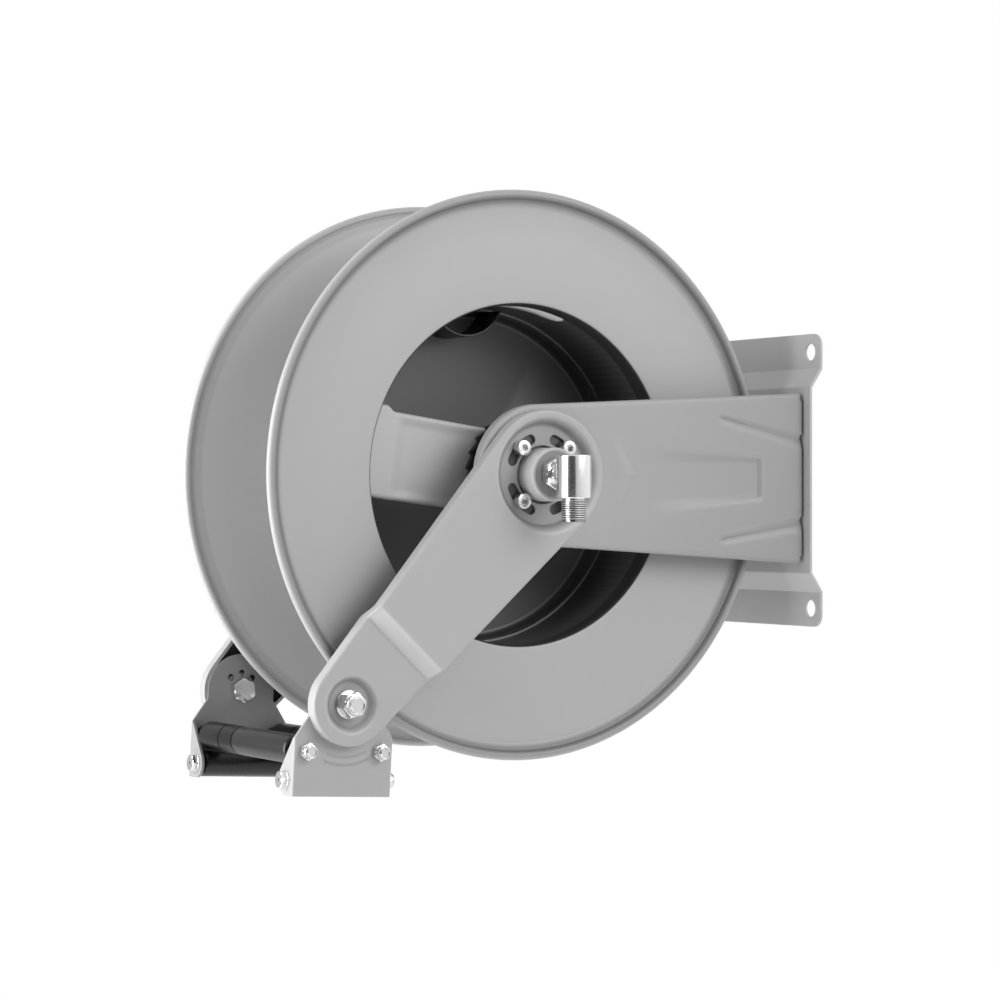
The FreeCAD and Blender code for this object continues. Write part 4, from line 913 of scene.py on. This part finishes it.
def kidneySlot(middle):
    circle = outlet["slotCircle"]
    half = outlet["slotHalf"]
    first = middle - outlet["slotTurn"]
    last = middle + outlet["slotTurn"]

    def roundEnd(angle, begin):
        a = circle * math.cos(math.radians(angle))
        b = circle * math.sin(math.radians(angle))
        return arcLoop(a, b, half, begin, begin + 180, 1.0)

    outer = arcLoop(0, 0, circle + half, first, last) + roundEnd(last, last)
    return outer + arcLoop(0, 0, circle - half, last, first) + roundEnd(first, first + 180)


def outletPaintedLight(a, b):
    # Painted highlight on the slope of the bend, and painted shade on the floors of the two dishes.
    share = (a - outlet["start"]) / outlet["run"]
    slope = smooth((share + 0.06) / 0.12) * smooth((1.06 - share) / 0.12)
    hub = smooth((48.0 - math.hypot(a, b)) / 6.0)
    end = smooth((23.0 - math.hypot(a - outlet["length"], b)) / 6.0)
    return 0.24 * slope - 0.17 * hub - 0.16 * end


def outletArm(side, node):
    o = outlet
    along = Vector((0, -math.cos(armTurn), -math.sin(armTurn)))
    across = Vector((0, math.sin(armTurn), -math.cos(armTurn)))

    def place(a, b, h):
        return axle + along * (a * mm) + across * (b * mm) + Vector((side * (o["face"] + h) * mm, 0, 0))

    outline = tangentOutline(o["hub"], o["end"], o["length"])
    holes = [arcLoop(0, 0, o["clear"], 0, 357), arcLoop(o["length"], 0, o["endHole"], 0, 350, 1.2)]
    # The slots sit at 45 degrees to the level, as the screws do.
    tilt = -math.degrees(armTurn)
    holes += [kidneySlot(45 + 90 * index + tilt + 180) for index in range(4)]
    details = ringPoints(0, 0, outletDetail["hub"]) + ringPoints(o["length"], 0, outletDetail["end"])
    details += [(o["start"] + o["run"] * share, b * 2.2) for share in outletDetail["bend"]
                for b in range(-17, 18)]
    handed = along.cross(across).dot(Vector((side, 0, 0))) < 0
    piece = pressedSheet(node + "_pressed", outline, holes, outletHeight, place, o, details,
                         materials["outlet"], handed, outletPaintedLight)
    settle(piece, "outlet_arms", node)


outletArm(1, "outlet_arm_right")
outletArm(-1, "outlet_arm_left")
print("outlet arms pressed")


# Support arm: (along, up) in millimetres from the axle towards the wall. Lines have two ends.
support = {"face": 108.0, "hub": 59.0, "reach": 284.0, "cut": 269.7, "top": 73.6, "low": -77.6,
           "chamfer": 7.0, "lip": 10.0, "rim": 3.0, "thick": 2.4, "spacing": 2.6,
           "press": 2.4, "pressEnd": 226.0, "pressTop": ((226.0, 16.0), (60.0, 26.0)),
           "pressLow": ((92.9, -34.0), (226.0, -20.5)), "chevron": 1.1, "chevronAt": 97.0,
           "groove": 1.9, "grooveHalf": 5.5, "grooves": (((179.5, 51.5), (268.0, 30.5)),
                                                        ((179.5, -56.0), (268.0, -42.0))),
           "notches": (33.9, -38.4), "notch": 4.5, "footHalf": 66.0, "footDeep": 23.0, "footThick": 3.0}
# Where the mesh is finer: along both grooves and across the end of the recess.
supportDetail = {"grooves": (((176, 52.3), (274, 29.1)), ((176, -56.6), (274, -41.1))),
                 "end": (221.3, 222.5, 223.7, 225.0, 226.5, 227.5, 228.6)}


def offLine(a, b, first, second):
    # Distance from the line through two points, positive on its left, and the share of the way along it.
    run = (second[0] - first[0], second[1] - first[1])
    length = math.hypot(*run)
    share = ((a - first[0]) * run[0] + (b - first[1]) * run[1]) / (length * length)
    return (run[0] * (b - first[1]) - run[1] * (a - first[0])) / length, share


def groove(a, b, line):
    # A V-like groove that deepens and widens from the first end of its line to the second.
    off, share = offLine(a, b, *line)
    if share < -0.05 or share > 1.3:
        return 0.0
    wide = support["grooveHalf"] * (0.7 + 0.5 * min(max(share, 0.0), 1.0))
    return -support["groove"] * smooth((share + 0.02) / 0.12) * (1 - bent(abs(off) / wide, 0.12))


def supportHeight(a, b):
    s = support
    # Middle recess: sharp at its right end, its sides running out to the left.
    upper = offLine(a, b, *s["pressTop"])[0]
    lower = offLine(a, b, *s["pressLow"])[0]
    spread = smooth((s["pressEnd"] - a) / 130.0)
    sides = bent(upper / (3.0 + 7.0 * spread), 0.2) * bent(lower / (3.2 + 8.0 * spread), 0.2)
    ends = bent((s["pressEnd"] + 1 - a) / 4.0, 0.2) * smooth((a - 92.0) / 70.0)
    # Chevron step beside the hub.
    off = abs(b - 1.0)
    step = smooth((s["chevronAt"] - off * 0.6 - a) / 10.0) * smooth((42.0 - off) / 14.0)
    step *= smooth((a - 66.0) / 18.0)
    return s["chevron"] * step - s["press"] * sides * ends + sum(groove(a, b, line) for line in s["grooves"])


def supportArm(side, node):
    s = support

    def place(a, b, h):
        return axle + Vector((side * (s["face"] + h) * mm, a * mm, b * mm))

    # Straight edges touch the hub circle and run on past the plate, and the arm is cut off just short of it.
    slope = s["chamfer"]
    outline = arcLoop(0, 0, s["hub"], 93.0, 267.0)
    outline += [(s["reach"] - slope, s["low"]), (s["reach"], s["low"] + slope),
                (s["reach"], s["top"] - slope), (s["reach"] - slope, s["top"])]
    details = []
    for step in range(50):
        share = step / 49
        wide = s["grooveHalf"] * (0.7 + 0.5 * share)
        for first, second in supportDetail["grooves"]:
            a, b = partWay(first, second, share)
            details += [(a, b + wide * part) for part in (-1.1, -0.9, -0.5, 0, 0.5, 0.9, 1.1)]
    details += [(a, -20 + 36 * step / 19) for step in range(20) for a in supportDetail["end"]]
    piece = pressedSheet(node + "_pressed", outline, [], supportHeight, place, s, details,
                         materials["support"], side < 0)
    # The end is cut square just short of the plate.
    bm = meshOf(piece)
    everything = bm.verts[:] + bm.edges[:] + bm.faces[:]
    bmesh.ops.bisect_plane(bm, geom=everything, dist=1e-7, plane_co=place(s["cut"], 0, 0), plane_no=(0, 1, 0),
                           clear_outer=True)
    bmesh.ops.triangle_fill(bm, edges=[edge for edge in bm.edges if edge.is_boundary], use_beauty=True)
    bmesh.ops.recalc_face_normals(bm, faces=bm.faces[:])
    reshape(piece, bm)
    # Corner clips and two weld notches.
    cutters = bmesh.new()
    for low, high in ((s["top"] - slope, s["top"] + 2), (s["low"] - 2, s["low"] + slope)):
        centre = Matrix.Translation(place(s["cut"] - 0.5, (low + high) / 2, -10))
        size = Matrix.Diagonal((30 * mm, 5 * mm, (high - low) * mm, 1))
        bmesh.ops.create_cube(cutters, size=1.0, matrix=centre @ size)
    for b in s["notches"]:
        turn = Matrix.Translation(place(s["cut"] + 1.8, b, -4)) @ Matrix.Rotation(math.pi / 2, 4, "Y")
        bmesh.ops.create_cone(cutters, cap_ends=True, segments=24, radius1=s["notch"] * mm,
                              radius2=s["notch"] * mm, depth=16 * mm, matrix=turn)
    carved(piece, meshObject("clips", cutters, materials["support"]))
    bm = meshOf(piece)
    centre = Matrix.Translation(place(s["cut"] - 0.1, -2.0, -18.5))
    size = Matrix.Diagonal((s["footDeep"] * mm, s["footThick"] * mm, 2 * s["footHalf"] * mm, 1))
    foot = bmesh.ops.create_cube(bm, size=1.0, matrix=centre @ size)
    edges = list({edge for vert in foot["verts"] for edge in vert.link_edges})
    bmesh.ops.bevel(bm, geom=edges, offset=0.4 * mm, segments=2, affect="EDGES")
    reshape(piece, bm)
    settle(piece, "frame", node)


supportArm(1, "support_arm_right")
supportArm(-1, "support_arm_left")
print("support arms pressed")


# The rest of the steel and plastic: merged copies of the solids with their edges rounded.
# Each row is a node, its finish, its edge radius in millimetres, its body and its slot.
dressed = [
    ("wall_plate", "plate", 0.5, "frame", "painted_grey"),
    ("hub_boss_right", "boss", 0.4, "frame", "painted_grey"),
    ("hub_boss_left", "boss", 0.4, "frame", "painted_grey"),
    ("swivel_cap", "boss", 0.3, "frame", "painted_grey"),
    ("bush_right", "bronze", 0.3, "frame", "bronze"),
    ("fixed_axle", "turned", 0.5, "frame", "turned_steel"),
    ("spring_arbor", "turned", 0.4, "frame", "turned_steel"),
    ("axle_pin", "zinc", 0.3, "frame", "zinc_steel"),
    ("pawl_pin", "turned", 0.3, "drum", "turned_steel"),
    ("drum_core", "drum", 0.3, "drum", "painted_grey"),
    ("spring_case", "web", 0.6, "drum", "painted_grey"),
    ("case_screws", "zinc", 0.4, "drum", "zinc_steel"),
    ("spring_post", "turned", 0.4, "drum", "turned_steel"),
    ("hollow_shaft", "turned", 0.4, "drum", "turned_steel"),
    ("ratchet_wheel", "blackSteel", 0.3, "frame", "black_steel"),
    ("hose_fitting", "bronze", 0.3, "drum", "bronze"),
    ("hose_saddle", "sleeve", 0.7, "drum", "black_plastic"),
    ("bush_left", "bronze", 0.3, "drum", "bronze"),
    ("friction_washers", "nylon", 0.2, "outlet_arms", "white_plastic"),
    ("guide_plate_right", "guideNear", 0.4, "guide", "painted_grey"),
    ("guide_plate_left", "guideFar", 0.4, "guide", "painted_grey"),
    ("pawl", "blackSteel", 0.4, "pawl", "black_steel"),
]
for node, finish, bevel, body, slotName in dressed:
    settle(fromNode(node, materials[finish], bevel), body, node)
print("solids dressed")


# Web: the solid's disc with its edge folded forward against the core.
webEdge = {"from": 137.0, "to": 144.85, "back": -20.5, "bendAt": -19.0, "bendDeep": 8.6, "bendOut": 6.8}


def web():
    w = webEdge
    disc = fromNode("web_disc", materials["web"], 0.4)
    profile = [(w["back"], w["from"])]
    for turn in range(0, 91, 10):
        angle = math.radians(turn)
        along = w["bendAt"] + w["bendDeep"] * (1 - math.cos(angle))
        profile.append((along, w["from"] + w["bendOut"] * math.sin(angle)))
    profile += [(-10.0, 144.0), (-10.0, w["to"]), (w["back"], w["to"])]
    edge = turned("web_edge", profile, materials["web"], 300)
    piece = meshObject("web_pressed", meshOf(disc, edge), materials["web"])
    discard(disc, edge)
    settle(piece, "drum", "web_disc")


web()


# Bridge: (along, across) in millimetres from the axle, its long edges rolled forward and its ends flat tabs.
bridge = {"face": 66.5, "turn": 7.6, "endHalf": 36.6, "hubHalf": 35.0, "reach": 150.0, "collar": 143.4,
          "tab": 124.0, "tabOut": 4.5, "roll": 2.2, "shaft": 15.0, "lip": 10.5, "rim": 3.0, "thick": 2.4,
          "spacing": 3.0}


def bridgeHalf(a):
    # Half of the width of the flat at a place along the bridge.
    share = min(abs(a) / bridge["tab"], 1.0)
    return bridge["hubHalf"] + (bridge["endHalf"] - bridge["hubHalf"]) * share - bridge["rim"]


def bridgeHeight(a, b):
    # The rolled edges stand proud of the middle and run out before the tabs.
    inward = bridgeHalf(a) - abs(b)
    return -bridge["roll"] * bent(inward / 6.0, 0.3) * smooth((bridge["tab"] - 4 - abs(a)) / 12.0)


def pressedBridge():
    g = bridge
    turn = Matrix.Rotation(-math.radians(g["turn"]), 3, "X")

    def place(a, b, h):
        return axle + turn @ Vector(((g["face"] + h) * mm, a * mm, b * mm))

    end = g["endHalf"]
    wide = end + g["tabOut"]
    tab = g["tab"]
    reach = g["reach"]
    side = [(0, -g["hubHalf"]), (tab - 3, -end), (tab + 3, -wide), (reach - 8, -wide), (reach, 8 - wide),
            (reach, end - 8), (reach - 8, end), (tab - 3, end)]
    outline = side + [(-a, -b) for a, b in side]
    details = [(index * 2.2, sign * (bridgeHalf(index * 2.2) - off)) for index in range(-56, 57)
               for sign in (-1, 1) for off in (1.5, 3.0, 4.5, 6.0, 7.5, 9.0)]
    holes = [arcLoop(0, 0, g["shaft"], 0, 357, 1.5)]
    piece = pressedSheet("bridge_pressed", outline, holes, bridgeHeight, place, g, details,
                         materials["bridge"])
    # The tabs end at the flange's collar.
    ring = [(40, g["collar"]), (80, g["collar"]), (80, 190), (40, 190)]
    carved(piece, turned("collar", ring, materials["drum"]))
    settle(piece, "drum", "drum_bridge")


pressedBridge()
print("web and bridge pressed")

# These keep their solids and only get a finish.
kept = {"main_spring": "springSteel", "pawl_spring": "springSteel", "swivel_seals": "rubber"}
for node, finish in kept.items():
    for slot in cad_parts[node].material_slots:
        slot.material = materials[finish]


# Rollers: a moulded barrel with rounded ends and a narrow journal at each end.
rollers = {"half": 84.0, "end": 97.5, "radius": 12.0, "journal": 7.5, "bore": 4.08, "band": (-44.0, -18.0),
           "sideHalf": 39.5, "sideEnd": 41.5, "sideRadius": 11.0}


def barrel(half, end, radius, grooves):
    r = rollers
    profile = [(-end, r["bore"]), (end, r["bore"]), (end, r["journal"] - 0.4), (end - 0.4, r["journal"]),
               (half, r["journal"])]
    profile += arcPoints(half - 3.0, radius - 3.0, 3.0, 0, 90, 6)
    for place in sorted(grooves, reverse=True):
        profile += [(place + 0.9, radius), (place + 0.6, radius - 0.9), (place - 0.6, radius - 0.9),
                    (place - 0.9, radius)]
    profile += arcPoints(3.0 - half, radius - 3.0, 3.0, 90, 180, 6)
    profile += [(-half, r["journal"]), (0.4 - end, r["journal"]), (-end, r["journal"] - 0.4)]
    return profile


def makeRollers():
    r = rollers
    f = fasteners
    long = barrel(r["half"], r["end"], r["radius"], r["band"])
    short = barrel(r["sideHalf"], r["sideEnd"], r["sideRadius"], [])
    for side, u in (("front", -f["spread"]), ("rear", f["spread"])):
        name = "roller_" + side
        centre = guidePoint(0, u, -f["drop"])
        piece = turned(name + "_barrel", long, materials["roller"], 96, centre)
        # The far end and its collar are blacker than the rest of the barrel.
        piece.data.materials.append(materials["collar"])
        for face in piece.data.polygons:
            if (face.center.x - centre.x) / mm < r["band"][1] + 0.6:
                face.material_index = 1
        settle(piece, side + "_roller", name)
    along = Vector((0, math.cos(guideTilt), -math.sin(guideTilt)))
    for side, x in (("right", f["lugX"]), ("left", -f["lugX"])):
        name = "roller_side_" + side
        centre = guidePoint(x, 0, -f["sideDrop"])
        piece = turned(name + "_barrel", short, materials["roller"], 96, centre, along)
        settle(piece, side + "_roller", name)


makeRollers()
print("rollers turned")


# Inlet elbow: its level part and upright, turned, with the thread on the stub.
elbow = {"at": 161.2, "neck": 11.0, "hexFrom": 133.0, "hexTo": 141.3, "across": 27.0, "radius": 14.5,
         "top": 15.8, "low": -19.8, "stub": 10.48, "stubEnd": -39.5, "pitch": 1.814, "deep": 1.16,
         "bore": 7.5, "boreTop": -9.0, "spigot": 10.95, "spigotFrom": 96.7, "collar": 18.7,
         "collarFrom": 124.3, "collarTo": 128.0, "throat": 13.0, "ledge": 12.0}


def inletElbow():
    e = elbow
    centre = axle + Vector((e["at"] * mm, 0, 0))
    root = e["stub"] - e["deep"]
    profile = [(e["top"], 0.0), (e["top"], e["radius"] - 1.6)]
    profile += arcPoints(e["top"] - 1.4, e["radius"] - 1.4, 1.4, 0, 90, 5)
    profile += arcPoints(e["low"] + 1.0, e["radius"] - 1.0, 1.0, 90, 180, 4)
    along = e["low"] - 1.2
    profile += [(e["low"], root), (along, root)]
    while along - e["pitch"] > e["stubEnd"] + 1.4:
        profile += [(along - e["pitch"] * 0.36, e["stub"]), (along - e["pitch"] * 0.56, e["stub"]),
                    (along - e["pitch"] * 0.94, root)]
        along -= e["pitch"]
    profile += [(e["stubEnd"] + 0.6, root), (e["stubEnd"], root - 0.6), (e["stubEnd"], e["bore"]),
                (e["boreTop"], e["bore"]), (e["boreTop"], 0.0)]
    upright = turned("elbow_upright", profile, materials["nickel"], 128, centre, Vector((0, 0, 1)), 30)
    first = e["spigotFrom"]
    spigot = e["spigot"]
    outer = e["collar"]
    last = e["at"] - 6.0
    level = [(first, 0.0), (first, spigot - 0.6), (first + 0.6, spigot), (e["collarFrom"], spigot),
             (e["collarFrom"], outer - 0.5), (e["collarFrom"] + 0.5, outer), (e["collarTo"] - 0.5, outer),
             (e["collarTo"], outer - 0.5), (e["collarTo"], e["throat"]), (e["hexFrom"], e["throat"]),
             (e["hexFrom"], e["ledge"]), (e["hexTo"] - 0.5, e["ledge"]), (e["hexTo"] - 0.5, e["neck"]),
             (last, e["neck"]), (last, 0.0)]
    neck = turned("elbow_neck", level, materials["nickel"], 96, sharp=30)
    hexPart = hexBody(e["across"], e["hexTo"] - e["hexFrom"], 5.0)
    seat = Matrix.Translation(axle + Vector((e["hexFrom"] * mm, 0, 0)))
    bmesh.ops.transform(hexPart, verts=hexPart.verts, matrix=seat @ Matrix.Rotation(math.pi / 2, 4, "X"))
    nut = meshObject("elbow_hexagon", hexPart, materials["nickel"], 25)
    piece = meshObject("inlet_elbow_turned", meshOf(upright, neck, nut), materials["nickel"], 30)
    discard(upright, neck, nut)
    settle(piece, "inlet", "inlet_elbow")


inletElbow()
print("elbow turned")


# Pale floor. It glows half white to the camera alone, and keeps the shadow.
def paleStage():
    finish = Finish("pale_stage")
    finish.tree.nodes.clear()
    inputs = {"Color": white, "Strength": finish.cameraRay() * 0.5}
    bright = finish.node("ShaderNodeEmission", {}, inputs)
    plain = finish.node("ShaderNodeBsdfDiffuse", {}, {"Color": grey(0.8)})
    both = finish.node("ShaderNodeAddShader", {}, {0: plain, 1: bright})
    finish.node("ShaderNodeOutputMaterial", {}, {"Surface": both})
    bm = bmesh.new()
    bmesh.ops.create_grid(bm, x_segments=1, y_segments=1, size=3.0)
    floor = meshObject("floor", bm, finish.material)
    floor.location.z = -1.1


paleStage()


# The studio: a white tent with a dim opening around the camera.
studio = {"tent": 0.64, "opening": 0.06, "heading": -50.0, "level": -2.0, "wide": 35.0, "narrow": 26.0,
          "lean": 0.5, "toward": (0.0, 0.88, 0.47)}


def setStudio():
    world = bpy.context.scene.world or bpy.data.worlds.new("world")
    bpy.context.scene.world = world
    world.use_nodes = True
    sky = Graph(world.node_tree)
    sky.tree.nodes.clear()
    where = sky.node("ShaderNodeTexCoord", {}, {}, "Generated")

    def toward(direction):
        settings = {"operation": "DOT_PRODUCT"}
        return sky.node("ShaderNodeVectorMath", settings, {0: where, 1: direction}, "Value")

    heading = math.radians(studio["heading"])
    level = math.radians(studio["level"])
    opening = (math.cos(heading) * math.cos(level), math.sin(heading) * math.cos(level), math.sin(level))
    inputs = {"Value": toward(opening), "From Min": math.cos(math.radians(studio["wide"])),
              "From Max": math.cos(math.radians(studio["narrow"])), "To Min": studio["tent"],
              "To Max": studio["opening"]}
    tent = sky.node("ShaderNodeMapRange", {"interpolation_type": "SMOOTHSTEP"}, inputs)
    # The tent is brighter behind and above than in front and below.
    lean = toward([part * studio["lean"] for part in studio["toward"]])
    soft = sky.node("ShaderNodeBackground", {}, {"Color": white, "Strength": lean * tent + tent})
    plain = sky.node("ShaderNodeBackground", {}, {"Color": white})
    mixed = sky.node("ShaderNodeMixShader", {}, {0: sky.cameraRay(), 1: soft, 2: plain})
    sky.node("ShaderNodeOutputWorld", {}, {"Surface": mixed})


setStudio()

# Soft boxes: one at the front left, for the rims, and one behind at the right. A heading of 0 is along X.
boxes = {
    "left": {"heading": -101.0, "far": 2.4, "high": 0.2, "wide": 2.4, "tall": 2.2, "power": 112.0},
    "right": {"heading": 24.0, "far": 2.1, "high": 0.9, "wide": 1.4, "tall": 1.2, "power": 22.0},
}
middle = Vector((0, -0.3, 0))
for name, box in boxes.items():
    lamp = linked(name, bpy.data.lights.new(name, "AREA"))
    lamp.data.shape = "RECTANGLE"
    lamp.data.size = box["wide"]
    lamp.data.size_y = box["tall"]
    lamp.data.energy = box["power"]
    heading = math.radians(box["heading"])
    lamp.location = middle + Vector((math.cos(heading), math.sin(heading), 0)) * box["far"]
    lamp.location.z = box["high"]
    reach = middle - lamp.location
    lamp.rotation_euler = reach.to_track_quat("-Z", "Y").to_euler()

bpy.context.scene.view_settings.view_transform = "Standard"
print("stage and lamps set")
